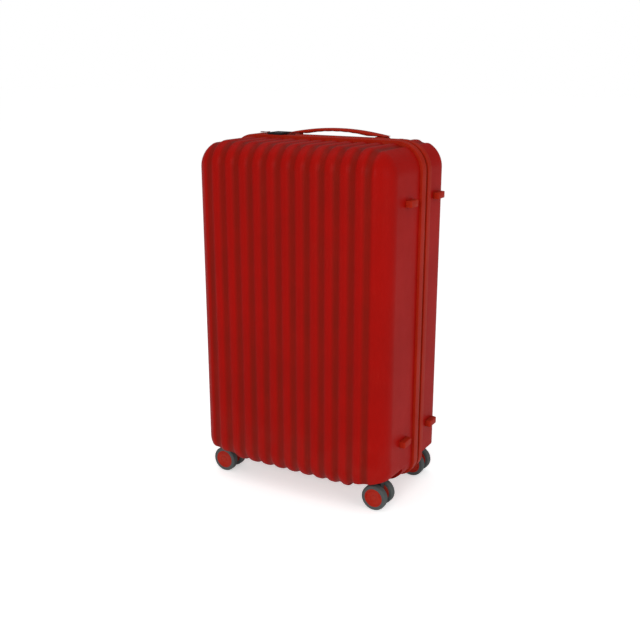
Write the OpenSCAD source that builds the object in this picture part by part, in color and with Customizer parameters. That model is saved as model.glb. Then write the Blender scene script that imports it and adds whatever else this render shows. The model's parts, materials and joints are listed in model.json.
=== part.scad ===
// Hard shell suitcase: two ribbed shells joined by a zip, on four twin-wheel swivel casters.
// Millimetres. X runs across the width, Y from the front face to the back, Z up from the floor.
// The shells open about an upright line on the +X side, where the four side feet are.

/* [Case] */
// Width across the smooth sides of the shells
case_w = 406; // [340:1:500]
// Height of the shells, underside to top
case_h = 638; // [520:1:770]
// Depth of the front shell, face to zip
front_d = 151.2; // [125:0.2:190]
// Depth of the rear shell, zip to back
rear_d = 96.8; // [84:0.2:130]
// Floor to the underside of the shells
floor_gap = 37; // [34:1:46]
// Wall of the shells
wall = 2.2; // [1.6:0.1:3.5]
// Radius of the two top corners, seen from the front
top_r = 50; // [30:1:70]
// Radius of the two bottom corners, seen from the front
bottom_r = 30; // [22:1:44]
// Radius of the edge round the front face
front_edge_r = 44; // [28:1:60]
// Radius of the edge round the back
rear_edge_r = 30; // [20:1:40]

/* [Ribs] */
// Ribs on each shell
rib_count = 13; // [7:2:17]
// Centre to centre of the ribs
rib_pitch = 30; // [20:0.5:36]
// Width of one rib
rib_w = 17; // [10:0.5:20]
// Height of the ribs above the valleys
rib_h = 2.5; // [1:0.1:4]

/* [Rims and zip] */
// Gap between the two rims that the zip fills
zip_w = 8; // [6:0.2:12]
// Width of the front rim
front_rim_w = 17.8; // [12:0.2:26]
// Width of the rear rim
rear_rim_w = 15.1; // [10:0.1:24]
// How far the rims stand out from the shells
rim_proud = 4.5; // [2:0.1:7]

/* [Casters] */
// Radius of a wheel
wheel_r = 25; // [22:0.5:28]
// Radius of the hub inside the tyre
hub_r = 18; // [14:0.5:20]
// Width of one wheel
wheel_w = 13.2; // [10:0.1:16]
// Gap between the two wheels of a pair
wheel_gap = 17.6; // [15:0.1:20]
// Wheel centres from the middle of the case
wheel_x = 172; // [140:1:178]
// Front face to the front wheel centres
front_wheel_in = 52.4; // [46:0.2:70]
// Back to the rear wheel centres
rear_wheel_in = 32; // [26:0.5:40]
// Swivel axis to wheel axis
trail = 8; // [4:0.5:10]
// Radius of the axle
axle_r = 3; // [2:0.1:4]
// Radius of the swivel pin
swivel_r = 4; // [3:0.1:5]

/* [Handles] */
// Length of the carry handles over their end blocks
handle_l = 214; // [160:1:240]
// Width of a carry handle
handle_w = 22; // [16:1:28]
// Height of the top handle above the shell
top_handle_rise = 17; // [14:0.5:22]
// How far the side handle and the side feet stand out
side_proud = 11.2; // [10:0.1:14]
// How far a carry handle lifts
handle_lift = 10; // [6:0.5:12]
// Back to the middle of the carry handles
handle_in = 58; // [50:1:64]
// Middle height of the side handle above the underside
side_handle_z = 330; // [220:5:420]

/* [Telescopic handle] */
// Centre to centre of the two masts
mast_x = 150; // [110:1:190]
// Outer mast tube width
mast_w = 22; // [18:0.5:28]
// Outer mast tube depth
mast_d = 12; // [10:0.5:14]
// Wall of the mast tubes
mast_wall = 1.2; // [1:0.1:1.4]
// Back to the middle of the masts
mast_in = 17; // [15.5:0.5:20]
// Length of the grip
grip_l = 176; // [140:1:220]

/* [Lock and zip pulls] */
// Middle of the lock from the middle of the case
lock_x = -106; // [-130:1:-90]
// Length of the lock along the rims
lock_l = 32; // [30:1:40]
// Centre to centre of the number dials
dial_pitch = 6; // [5.5:0.1:7]
// Radius of a number dial
dial_r = 5.5; // [5:0.1:6]

/* [Side feet] */
// Length of a foot from front to back
foot_l = 32; // [20:1:40]
// Height of a foot
foot_h = 12; // [8:1:20]
// Middle of the upper feet below the top
foot_down = 98; // [80:1:140]
// Middle of the lower feet above the underside
foot_up = 87; // [70:1:140]

/* [Fits] */
// Radial clearance of a shaft in a bore
run_c = 0.05; // [0.02:0.01:0.1]
// Clearance of parts that slide in each other
slide_c = 0.3; // [0.2:0.05:0.5]
// Clearance between pieces that pass each other
pass_c = 0.4; // [0.3:0.1:0.8]

/* [Hidden] */
$fn = 96;
big = 2000;
y_front = -(front_d + zip_w + rear_d) / 2;
y_back = -y_front;
seam_f = y_front + front_d;      // where the front shell meets the zip
seam_r = seam_f + zip_w;         // where the rear shell meets the zip
y_zip = (seam_f + seam_r) / 2;
z_top = floor_gap + case_h;
half_w = case_w / 2;
skin = wall + rib_h;             // rib crest to the inside of the wall
rim_front_y = seam_f - front_rim_w;
rim_rear_y = seam_r + rear_rim_w;

// casters
axle_z = wheel_r;
swivel_x = wheel_x - trail;
wheels_y = wheel_gap / 2 + wheel_w;
swept_r = sqrt(pow(trail + wheel_r, 2) + pow(wheels_y, 2));
crown_z = 2 * wheel_r + 1.6;
crown_t = 4.8;
crown_r = 17;
pad_z = crown_z + crown_t + pass_c;
pad_r = 26;
boss_r = 8.5;
boss_top = pad_z + 17;
pin_top = boss_top - 2;
well_side = swept_r + 3.5;       // swivel axis to the well's walls
well_step = 9;
well_low = floor_gap + well_step;
well_knee_z = pad_z + 0.2;
well_high = well_knee_z + 11;
well_knee_x = swivel_x - well_side + 16;

// zip
tape_gap = 0.3;
tape_proud = 1.2;
tape_in = 4;
slider_l = 14;
slider_z = z_top + tape_proud + pass_c;
slider_h = 4;
eye_z = slider_z + slider_h + 1.8;
pull_l = 18;
pull_pin_r = 0.8;

// carry handles, drawn lying on the plane z = 0 with their length along X
block_l = 22;
block_h = 4.6;
leg_x = handle_l / 2 - block_l / 2;
leg_l = 11.2;
leg_w = 8.2;
sleeve_wall = 2.4;
leg_flange = 2.6;
top_y = y_back - handle_in;
side_z = floor_gap + side_handle_z;

// telescopic handle
mast_y = y_back - mast_in;
cup_l = grip_l + 8;
cup_d = 2 * (mast_in - 7.5);
cup_wall = 4;
cup_floor = z_top - 25.5;
cup_base = cup_floor - 9.5;
grip_t = 14;
grip_z = cup_floor + 1;
mast_foot = floor_gap + 21;
mast_top = cup_base + 6;
mid_w = mast_w - 2 * mast_wall - 2 * slide_c;
mid_d = mast_d - 2 * mast_wall - 2 * slide_c;
in_w = mid_w - 2 * mast_wall - 2 * slide_c;
in_d = mid_d - 2 * mast_wall - 2 * slide_c;
bracket_l = mast_x + mast_w + 12;
bracket_top = floor_gap + bottom_r + 14;
screw_z = floor_gap + bottom_r + 7;
screw_r = 2;

// lock
lock_z = z_top + rim_proud + pass_c;
lock_top = lock_z + 3.8;
lock_y0 = rim_front_y + 3;
lock_y1 = rim_rear_y - 1;
lock_box_y0 = seam_r + 0.3;
lock_box_z = z_top - 9;
dial_t = 4;
dial_y = (lock_box_y0 + lock_y1) / 2;
dial_z = lock_top - dial_r + 0.6;
dial_shaft_r = 1.5;
button_l = 9;
button_w = 5;
button_draw = 3;
key_r = 3;

// linings
lining_t = 1.5;
front_lining_w = case_w - 24;
rear_lining_w = case_w - 46;
lining_foot = boss_top + 6;
front_lining_top = z_top - 14;
rear_lining_top = z_top - 30;
front_lining_y = y_front + 22;
rear_lining_y = mast_y - mast_d / 2 - 10;
strap_w = 25;
strap_t = 1.5;

CORNERS = ["front_left", "front_right", "rear_left", "rear_right"];

// ---- plain shapes ------------------------------------------------------

// What one round corner takes away; dx and dy point into the shape
module corner_nick(x, y, dx, dy, r) {
    difference() {
        translate([dx > 0 ? x - 1 : x - r, dy > 0 ? y - 1 : y - r]) square(r + 1);
        translate([x + dx * r, y + dy * r]) circle(r);
    }
}

// Rectangle with its own radius at each corner, from bottom left anticlockwise
module rounded(x0, y0, x1, y1, r) {
    difference() {
        translate([x0, y0]) square([x1 - x0, y1 - y0]);
        if (r[0] > 0) corner_nick(x0, y0, 1, 1, r[0]);
        if (r[1] > 0) corner_nick(x1, y0, -1, 1, r[1]);
        if (r[2] > 0) corner_nick(x1, y1, -1, -1, r[2]);
        if (r[3] > 0) corner_nick(x0, y1, 1, -1, r[3]);
    }
}

// Stands a flat outline up: its x stays X, its y becomes Z, and it fills y0 to y1
module along_y(y0, y1) {
    translate([0, y1, 0]) rotate([90, 0, 0]) linear_extrude(y1 - y0) children();
}

// Stands a flat outline up: its x becomes Y, its y becomes Z, and it fills x0 to x1
module along_x(x0, x1) {
    translate([x0, 0, 0]) rotate([90, 0, 90]) linear_extrude(x1 - x0) children();
}

module box(x0, x1, y0, y1, z0, z1) {
    translate([x0, y0, z0]) cube([x1 - x0, y1 - y0, z1 - z0]);
}

module post(r, z0, z1) {
    translate([0, 0, z0]) cylinder(r = r, h = z1 - z0);
}

module both_sides() {
    children();
    mirror([1, 0, 0]) children();
}

// The case seen from the front, drawn in by s at the sides and e at the ends
module front_view(s, e) {
    rounded(-half_w + s, floor_gap + e, half_w - s, z_top - e,
            [bottom_r - s, bottom_r - s, top_r - s, top_r - s]);
}

// ---- shells ------------------------------------------------------------

// A shell's outside or inside: s in from the sides, e in from the face and the ends.
// face is the outermost Y, seam the open edge, and past a distance to run beyond it.
module shell_block(face, seam, past, edge_r, s, e) {
    way = sign(seam - face);
    f = face + way * e;
    o = seam + way * past;
    r = edge_r - e;
    intersection() {
        along_y(min(f, o), max(f, o)) front_view(s, e);
        along_x(-big, big)
            rounded(min(f, o), floor_gap + e, max(f, o), z_top - e,
                    way > 0 ? [r, 0, 0, r] : [0, r, r, 0]);
        translate([0, 0, -big / 2]) linear_extrude(big)
            rounded(-half_w + s, min(f, o), half_w - s, max(f, o),
                    way > 0 ? [r, r, 0, 0] : [0, 0, r, r]);
    }
}

// Everything the casters need at one end of the underside, grown by g into the case
module wells(swivel_y, open_y, g) {
    inner = swivel_x - well_side - g;
    y0 = open_y < 0 ? -big / 2 : swivel_y - well_side - g;
    y1 = open_y < 0 ? swivel_y + well_side + g : big / 2;
    both_sides() along_y(y0, y1)
        polygon([[inner, -1], [inner, well_low + g], [well_knee_x - g / 2, well_knee_z + g],
                 [half_w + 40, well_high + g + 6], [half_w + 40, -1]]);
}

module ribbed_shell(face, seam, edge_r, swivel_y) {
    way = sign(seam - face);
    difference() {
        intersection() {
            shell_block(face, seam, 0, edge_r, 0, 0);
            union() {
                shell_block(face, seam, 0, edge_r, 0, rib_h);
                for (i = [0:rib_count - 1]) {
                    x = (i - (rib_count - 1) / 2) * rib_pitch;
                    box(x - rib_w / 2, x + rib_w / 2, -big / 2, big / 2, 0, big);
                }
                // plain band that the rim sits on
                box(-big / 2, big / 2, way > 0 ? rim_front_y - 3 : seam, way > 0 ? seam : rim_rear_y + 3, 0, big);
            }
        }
        difference() {
            shell_block(face, seam, 5, edge_r, wall, skin);
            wells(swivel_y, face, wall);
        }
        wells(swivel_y, face, 0);
        // holes for the two caster bosses
        both_sides() translate([swivel_x, swivel_y, 0]) post(boss_r, 0, well_high + 20);
    }
}

front_swivel_y = y_front + front_wheel_in;
rear_swivel_y = y_back - rear_wheel_in;

module front_shell() {
    color("firebrick") ribbed_shell(y_front, seam_f, front_edge_r, front_swivel_y);
}

module rear_shell() {
    color("firebrick") difference() {
        ribbed_shell(y_back, seam_r, rear_edge_r, rear_swivel_y);
        cup_space(0);
        translate([0, top_y, z_top]) handle_holes(leg_x);
        on_side() handle_holes(leg_x);
        lock_space();
        both_sides() translate([mast_x / 2, y_back, screw_z]) rotate([90, 0, 0])
            cylinder(r = screw_r, h = skin + 1);
    }
}

// ---- rims and zip ------------------------------------------------------

module band(y0, y1, out, in) {
    along_y(y0, y1) difference() {
        front_view(-out, -out);
        front_view(in, in);
    }
}

module front_rim() { color("orangered") band(rim_front_y, seam_f, rim_proud, 0); }

module rear_rim() {
    color("orangered") difference() {
        band(seam_r, rim_rear_y, rim_proud, 0);
        lock_space();
    }
}

module front_zip() { color("dimgray") band(seam_f, y_zip - tape_gap / 2, tape_proud, tape_in); }

module rear_zip() { color("dimgray") band(y_zip + tape_gap / 2, seam_r, tape_proud, tape_in); }

// Slider standing over the teeth, with its pull's pin
module slider_at(x) {
    translate([x, y_zip, 0]) {
        box(-slider_l / 2, slider_l / 2, -zip_w / 2 + pass_c, zip_w / 2 - pass_c, slider_z, slider_z + slider_h);
        for (side = [-1, 1])
            translate([0, side * 2.6, 0]) box(-2, 2, -0.6, 0.6, slider_z + slider_h, eye_z + 1.4);
        translate([0, 2, eye_z]) rotate([90, 0, 0]) cylinder(r = pull_pin_r, h = 4, $fn = 32);
    }
}

// Pull lying flat; way is the side it points to
module pull_at(x, way) {
    translate([x, y_zip, eye_z]) difference() {
        union() {
            rotate([90, 0, 0]) translate([0, 0, -1.6]) cylinder(r = 1.4, h = 3.2);
            box(way > 0 ? 0 : -pull_l, way > 0 ? pull_l : 0, -1.6, 1.6, -0.8, 0.8);
            translate([way * (pull_l - 5), 0, -0.8]) cylinder(r = 3.4, h = 1.6);
        }
        rotate([90, 0, 0]) translate([0, 0, -3]) cylinder(r = pull_pin_r + run_c, h = 6, $fn = 32);
        translate([way * (pull_l - 5), 0, -2]) cylinder(r = 1.6, h = 4);
    }
}

slider_gap = lock_l / 2 + 10;
module zip_slider_a() { color("darkred") slider_at(lock_x + slider_gap); }
module zip_slider_b() { color("darkred") slider_at(lock_x - slider_gap); }
module zip_pull_a() { color("dimgray") pull_at(lock_x + slider_gap, 1); }
module zip_pull_b() { color("dimgray") pull_at(lock_x - slider_gap, -1); }

// ---- lock --------------------------------------------------------------

module lock_space() {
    box(lock_x - lock_l / 2 + 1, lock_x + lock_l / 2 - 1, seam_r - 1, lock_y1, lock_box_z, z_top + 20);
}

module dial_shape(r, t, x) {
    translate([x - t / 2, dial_y, dial_z]) rotate([0, 90, 0]) cylinder(r = r, h = t);
}

dial_xs = [for (i = [-1:1]) lock_x + i * dial_pitch];
button_x = lock_x - lock_l / 2 + button_l / 2 + button_draw + 2;
button_y = (lock_y0 + seam_f) / 2 + 1;
key_x = lock_x + lock_l / 2 - key_r - 3;

module lock_body() {
    color("#1b2022") {
        difference() {
            union() {
                box(lock_x - lock_l / 2, lock_x + lock_l / 2, lock_y0, lock_y1, lock_z, lock_top);
                box(lock_x - lock_l / 2 + 1, lock_x + lock_l / 2 - 1, lock_box_y0, lock_y1, lock_box_z, lock_z);
            }
            for (x = dial_xs) dial_shape(dial_r + pass_c, dial_t + 2 * slide_c, x);
            box(button_x - button_l / 2 - button_draw - slide_c, button_x + button_l / 2 + slide_c,
                button_y - button_w / 2 - slide_c, button_y + button_w / 2 + slide_c, lock_top - 2, lock_top + 1);
            translate([key_x, button_y, 0]) post(key_r + run_c, lock_top - 2.4, lock_top + 1);
        }
        for (x = dial_xs) dial_shape(dial_shaft_r, dial_t + 2 * slide_c, x);
    }
}

module lock_button() {
    color("gray") box(button_x - button_l / 2, button_x + button_l / 2, button_y - button_w / 2,
                      button_y + button_w / 2, lock_top - 2 + slide_c, lock_top + 0.6);
}

module key_barrel() {
    color("silver") translate([key_x, button_y, 0]) difference() {
        post(key_r, lock_top - 2.2, lock_top + 0.3);
        box(-2, 2, -0.4, 0.4, lock_top - 0.8, lock_top + 1);
    }
}

module dial(x) {
    color("silver") difference() {
        dial_shape(dial_r, dial_t, x);
        dial_shape(dial_shaft_r + run_c, dial_t + 2, x);
        for (a = [0:36:324])
            translate([x - dial_t, dial_y, dial_z]) rotate([a, 0, 0]) translate([0, dial_r + 0.35, 0])
                rotate([0, 90, 0]) cylinder(r = 0.8, h = 2 * dial_t, $fn = 24);
    }
}

// ---- carry handles -----------------------------------------------------

// Turns what lies on z = 0 to stand on the left side of the rear shell
module on_side() {
    translate([-half_w, top_y, side_z]) rotate([0, -90, 0]) children();
}

module slot(x, grow, z0, z1) {
    box(x - leg_l / 2 - grow, x + leg_l / 2 + grow, -leg_w / 2 - grow, leg_w / 2 + grow, z0, z1);
}

module handle_holes(x) {
    both_sides() slot(x, sleeve_wall, -skin - 4, 2);
}

// End blocks with the sleeves that guide the legs through the wall
module handle_blocks(x) {
    both_sides() difference() {
        union() {
            translate([0, handle_w / 2, 0]) rotate([90, 0, 0]) linear_extrude(handle_w)
                polygon([[x - block_l / 2, 0], [x - block_l / 2, block_h], [x + block_l / 2 - 4, block_h],
                         [x + block_l / 2, 1.2], [x + block_l / 2, 0]]);
            slot(x, sleeve_wall, -skin - 4, 0);
        }
        slot(x, slide_c, -skin - 5, block_h + 1);
    }
}

// Bowed strap with a leg at each end; the legs' flanges stop it after lift
module bowed_handle(x, rise, thick, lift) {
    low = block_h + pass_c;
    out_r = (pow(x, 2) + pow(rise - low - 3, 2)) / (2 * (rise - low - 3));
    in_r = (pow(x - 8, 2) + pow(rise - thick - low, 2)) / (2 * (rise - thick - low));
    translate([0, handle_w / 2, 0]) rotate([90, 0, 0]) linear_extrude(handle_w) intersection() {
        difference() {
            translate([0, rise - out_r]) circle(out_r, $fn = 720);
            translate([0, rise - thick - in_r]) circle(in_r, $fn = 720);
        }
        translate([-handle_l / 2, low]) square([handle_l, big]);
    }
    both_sides() {
        slot(x, 0, -skin - 4 - lift - leg_flange, low + 1);
        slot(x, sleeve_wall - 0.4, -skin - 4 - lift - leg_flange, -skin - 4 - lift);
    }
}

module top_handle() {
    color("orangered") translate([0, top_y, z_top])
        bowed_handle(leg_x, top_handle_rise, 5.2, handle_lift);
}

module top_handle_blocks() { color("orangered") translate([0, top_y, z_top]) handle_blocks(leg_x); }

module side_handle() { color("orangered") on_side() bowed_handle(leg_x, side_proud, 4, handle_lift); }

module side_handle_blocks() { color("orangered") on_side() handle_blocks(leg_x); }

// ---- side feet ---------------------------------------------------------

module feet(y0) {
    color("orangered") for (z = [z_top - foot_down, floor_gap + foot_up])
        translate([0, 0, z - foot_h / 2]) linear_extrude(foot_h)
            polygon([[half_w, y0], [half_w + side_proud - 2, y0 + 1], [half_w + side_proud, y0 + 3],
                     [half_w + side_proud, y0 + foot_l - 3], [half_w + side_proud - 2, y0 + foot_l - 1],
                     [half_w, y0 + foot_l]]);
}

module front_feet() { feet(rim_front_y - 27.4 - foot_l); }

module rear_feet() { feet(rim_rear_y + 19.7); }

// ---- telescopic handle -------------------------------------------------

module cup_space(g) {
    box(-cup_l / 2 - cup_wall + g, cup_l / 2 + cup_wall - g, mast_y - cup_d / 2 - cup_wall + g,
        mast_y + cup_d / 2 + cup_wall - g, cup_base, z_top + 20);
}

// One straight length of tube of each mast, w by d outside
module mast_pair(w, d, z0, z1, hollow) {
    both_sides() translate([mast_x / 2, mast_y, 0]) difference() {
        box(-w / 2, w / 2, -d / 2, d / 2, z0, z1);
        if (hollow) box(-w / 2 + mast_wall, w / 2 - mast_wall, -d / 2 + mast_wall, d / 2 - mast_wall,
                        z0 - 1, z1 + 1);
    }
}

module mast_outer_tubes() { color("silver") mast_pair(mast_w, mast_d, mast_foot, mast_top, true); }

module mast_middle_tubes() {
    color("silver") mast_pair(mid_w, mid_d, mast_foot + 6, cup_floor - 0.4, true);
}

module mast_inner_tubes() {
    color("silver") mast_pair(in_w, in_d, mast_foot + 9, grip_z + 6, true);
}

module mast_cup() {
    color("#2a2d2f") difference() {
        intersection() {
            shell_block(y_back, seam_r, 0, rear_edge_r, 0, 0);
            cup_space(0);
        }
        box(-cup_l / 2, cup_l / 2, mast_y - cup_d / 2, mast_y + cup_d / 2, cup_floor, z_top + 5);
        mast_pair(mast_w, mast_d, cup_base - 1, mast_top, false);
        mast_pair(mid_w + 2 * slide_c, mid_d + 2 * slide_c, cup_base, cup_floor + 1, false);
    }
}

module mast_bracket() {
    color("#2a2d2f") difference() {
        union() {
            box(-bracket_l / 2, bracket_l / 2, mast_y - mast_d / 2 - 4, mast_y + mast_d / 2 + 2,
                mast_foot - 4, bracket_top);
            both_sides() box(mast_x / 2 - 14, mast_x / 2 + 14, mast_y, y_back - skin,
                             floor_gap + bottom_r + 1, bracket_top);
        }
        mast_pair(mast_w, mast_d, mast_foot, bracket_top + 1, false);
        both_sides() translate([mast_x / 2, y_back, screw_z]) rotate([90, 0, 0])
            cylinder(r = screw_r, h = y_back - mast_y - mast_d / 2);
    }
}

module bracket_screws() {
    color("silver") both_sides() translate([mast_x / 2, y_back - rib_h, screw_z]) rotate([90, 0, 0]) {
        cylinder(r = screw_r, h = y_back - rib_h - mast_y - mast_d / 2 - 0.2);
        translate([0, 0, -1.8]) cylinder(r = 4, h = 1.8);
    }
}

button_gap = 4.4;
module mast_grip() {
    color("#1b2022") difference() {
        intersection() {
            box(-grip_l / 2, grip_l / 2, mast_y - cup_d / 2 + 0.7, mast_y + cup_d / 2 - 0.7,
                grip_z, grip_z + grip_t);
            along_y(-big, big) rounded(-grip_l / 2, grip_z, grip_l / 2, grip_z + grip_t, [0, 0, 5, 5]);
        }
        mast_pair(in_w, in_d, grip_z - 1, grip_z + 6, false);
        box(-15, 15, mast_y - 5, mast_y + 5, grip_z + grip_t - button_gap - 1, grip_z + grip_t + 1);
    }
}

module mast_button() {
    color("gray") box(-15 + slide_c, 15 - slide_c, mast_y - 5 + slide_c, mast_y + 5 - slide_c,
                      grip_z + grip_t - 2.4, grip_z + grip_t + 1);
}

// ---- inside ------------------------------------------------------------

module tray(w, y_floor, y_rim, z0, z1) {
    way = sign(y_rim - y_floor);
    y_in = y_floor + way * lining_t;
    difference() {
        along_y(min(y_floor, y_rim), max(y_floor, y_rim)) rounded(-w / 2, z0, w / 2, z1, [20, 20, 40, 40]);
        along_y(min(y_in, y_rim + way), max(y_in, y_rim + way))
            rounded(-w / 2 + lining_t, z0 + lining_t, w / 2 - lining_t, z1 - lining_t,
                    [20 - lining_t, 20 - lining_t, 40 - lining_t, 40 - lining_t]);
    }
}

module front_lining() {
    color("#3a3436") tray(front_lining_w, front_lining_y, seam_f - 3, lining_foot, front_lining_top);
}

module rear_lining() {
    color("#3a3436") tray(rear_lining_w, rear_lining_y, seam_r + 1, lining_foot, rear_lining_top);
}

module divider_panel() {
    in = lining_t + 1;
    color("#4a4446") along_y(seam_f - 7, seam_f - 5)
        rounded(-front_lining_w / 2 + in, lining_foot + in, front_lining_w / 2 - in, front_lining_top - in,
                [20 - in, 20 - in, 40 - in, 40 - in]);
}

strap_z = (lining_foot + rear_lining_top) / 2;
module packing_straps() {
    reach_x = rear_lining_w / 2 - 32;
    reach_z = (rear_lining_top - lining_foot) / 2 - 90;
    lean = atan(reach_x / reach_z);
    color("#202224") {
        for (a = [-lean, lean])
            translate([0, rear_lining_y - lining_t - strap_t / 2, strap_z]) rotate([0, a, 0])
                cube([strap_w, strap_t, 2 * norm([reach_x, reach_z])], center = true);
        box(-30, 30, rear_lining_y - lining_t - strap_t - 7, rear_lining_y - lining_t - strap_t,
            strap_z - 19, strap_z + 19);
    }
}

// ---- casters -----------------------------------------------------------

// Mount pads that fill the wells' roofs, with the bosses the swivel pins turn in
module caster_mounts(swivel_y, face, seam, edge_r) {
    color("#2a2d2f") both_sides() difference() {
        union() {
            intersection() {
                translate([swivel_x, swivel_y, 0]) post(pad_r, pad_z, well_high + 10);
                wells(swivel_y, face, 0);
                shell_block(face, seam, 0, edge_r, 0, 0);
            }
            translate([swivel_x, swivel_y, 0]) post(boss_r, pad_z, boss_top);
        }
        translate([swivel_x, swivel_y, 0]) post(swivel_r + run_c, pad_z - 1, boss_top - 1);
    }
}

module front_caster_mounts() { caster_mounts(front_swivel_y, y_front, seam_f, front_edge_r); }

module rear_caster_mounts() { caster_mounts(rear_swivel_y, y_back, seam_r, rear_edge_r); }

// Puts a caster drawn about its swivel axis, trailing to +X, at a corner by name
module at_corner(c) {
    y = (c == CORNERS[0] || c == CORNERS[1]) ? front_swivel_y : rear_swivel_y;
    if (c == CORNERS[0] || c == CORNERS[2]) translate([-swivel_x, y, 0]) mirror([1, 0, 0]) children();
    else translate([swivel_x, y, 0]) children();
}

module on_axle(y0, y1, r) {
    translate([trail, y1, axle_z]) rotate([90, 0, 0]) cylinder(r = r, h = y1 - y0);
}

leg_y = wheel_gap / 2 - 2.6;
module fork() {
    color("#1b2022") {
        difference() {
            union() {
                post(crown_r, crown_z, crown_z + crown_t);
                along_y(-leg_y, leg_y)
                    polygon([[-4, crown_z + 1], [-1, axle_z], [trail - 8.5, axle_z], [trail + 8.5, axle_z],
                             [trail + 9, crown_z + 1]]);
                on_axle(-leg_y, leg_y, 8.5);
            }
            on_axle(-leg_y - 1, leg_y + 1, axle_r);
        }
        post(swivel_r, crown_z + crown_t, pin_top);
    }
}

head_r = 5;
head_t = 1.4;
head_in = 2.2;
module axle() {
    color("silver") {
        on_axle(-wheels_y + head_in, wheels_y - head_in, axle_r);
        for (side = [-1, 1]) on_axle(side * (wheels_y - head_in + head_t / 2) - head_t / 2,
                                     side * (wheels_y - head_in + head_t / 2) + head_t / 2, head_r);
    }
}

// Hub on the +Y side of the leg: a boss against the leg, a web, and a sunk centre for the axle's head
module hub() {
    color("orangered") difference() {
        union() {
            on_axle(wheel_gap / 2, wheels_y, hub_r);
            on_axle(leg_y + slide_c, wheel_gap / 2, 6);
        }
        on_axle(leg_y - 1, wheels_y + 1, axle_r + run_c);
        on_axle(wheels_y - head_in - 0.2, wheels_y + 1, head_r + 1);
    }
}

module tyre() {
    y0 = wheel_gap / 2;
    color("dimgray") translate([trail, y0, axle_z]) rotate([-90, 0, 0]) rotate_extrude()
        rounded(hub_r, 0, wheel_r, wheel_w, [0, 2.5, 2.5, 0]);
}

module caster_piece(c, piece) {
    at_corner(c) {
        if (piece == "_fork") fork();
        if (piece == "_axle") axle();
        if (piece == "_hub_a") hub();
        if (piece == "_hub_b") mirror([0, 1, 0]) hub();
        if (piece == "_tyre_a") tyre();
        if (piece == "_tyre_b") mirror([0, 1, 0]) tyre();
    }
}

// ---- assembly ----------------------------------------------------------

front_shell();
rear_shell();
front_rim();
rear_rim();
front_zip();
rear_zip();
zip_slider_a();
zip_slider_b();
zip_pull_a();
zip_pull_b();
lock_body();
lock_button();
key_barrel();
dial(dial_xs[0]);  // dial_1
dial(dial_xs[1]);  // dial_2
dial(dial_xs[2]);  // dial_3
top_handle();
top_handle_blocks();
side_handle();
side_handle_blocks();
front_feet();
rear_feet();
mast_outer_tubes();
mast_middle_tubes();
mast_inner_tubes();
mast_cup();
mast_bracket();
mast_grip();
mast_button();
front_lining();
rear_lining();
divider_panel();
packing_straps();
bracket_screws();
front_caster_mounts();
rear_caster_mounts();
for (c = CORNERS, p = ["_fork", "_axle", "_hub_a", "_hub_b", "_tyre_a", "_tyre_b"])
    caster_piece(c, p);
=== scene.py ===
"""Hard shell suitcase on swivel casters: its looks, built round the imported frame.

Each sub-assembly is a class with its sizes as fields and methods that model and dress its pieces.
Lengths are in metres, in the frame's own axes: +X to the hinge side, +Y to the back, +Z up.
"""

from __future__ import annotations

import json
import logging
import math
from contextlib import contextmanager
from dataclasses import dataclass, field
from enum import Enum
from typing import Callable, ClassVar, Iterator, Sequence

import bpy
import numpy as np
from mathutils import Matrix, Vector, noise

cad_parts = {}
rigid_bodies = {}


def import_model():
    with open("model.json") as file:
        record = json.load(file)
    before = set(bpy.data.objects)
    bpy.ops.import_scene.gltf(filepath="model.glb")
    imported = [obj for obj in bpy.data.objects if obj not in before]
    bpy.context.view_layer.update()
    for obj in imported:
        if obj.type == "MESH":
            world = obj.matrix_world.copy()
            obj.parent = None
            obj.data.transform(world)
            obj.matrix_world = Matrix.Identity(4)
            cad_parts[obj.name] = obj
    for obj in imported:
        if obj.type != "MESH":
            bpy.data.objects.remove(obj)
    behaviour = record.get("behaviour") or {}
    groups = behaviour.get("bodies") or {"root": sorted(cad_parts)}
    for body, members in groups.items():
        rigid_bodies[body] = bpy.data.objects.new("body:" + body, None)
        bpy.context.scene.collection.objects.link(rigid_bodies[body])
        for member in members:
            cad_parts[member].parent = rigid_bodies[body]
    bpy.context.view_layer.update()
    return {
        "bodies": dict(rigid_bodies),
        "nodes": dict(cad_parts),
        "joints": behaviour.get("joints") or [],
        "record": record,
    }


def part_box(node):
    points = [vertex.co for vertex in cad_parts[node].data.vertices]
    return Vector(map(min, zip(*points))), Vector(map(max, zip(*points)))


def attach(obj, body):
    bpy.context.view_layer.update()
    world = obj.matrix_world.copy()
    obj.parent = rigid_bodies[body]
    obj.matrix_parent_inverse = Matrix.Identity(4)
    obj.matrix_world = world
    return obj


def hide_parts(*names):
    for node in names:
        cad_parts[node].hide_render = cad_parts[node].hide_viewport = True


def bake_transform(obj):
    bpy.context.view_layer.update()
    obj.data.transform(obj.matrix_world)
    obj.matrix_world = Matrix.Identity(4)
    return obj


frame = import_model()

LOG = logging.getLogger("suitcase")
MM = 0.001
CORNERS = ("front_left", "front_right", "rear_left", "rear_right")
Link = bpy.types.NodeSocket
Obj = bpy.types.Object
Point = Sequence[float]
Outline = Sequence[tuple[float, float]]
Colour = tuple[float, float, float, float]


# ---- modelling helpers ---------------------------------------------------


class Kind(Enum):
    """What a selection picks, with the edit mode's select mode for it."""

    VERTS = (True, False, False)
    EDGES = (False, True, False)
    FACES = (False, False, True)


def deselect() -> None:
    """Leaves nothing selected and nothing active."""
    for obj in list(bpy.context.selected_objects):
        obj.select_set(False)
    bpy.context.view_layer.objects.active = None


def activate(obj: Obj) -> None:
    """Makes one object the only selected one, and the active one.

    Args:
        obj: The object.
    """
    deselect()
    obj.select_set(True)
    bpy.context.view_layer.objects.active = obj


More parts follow.
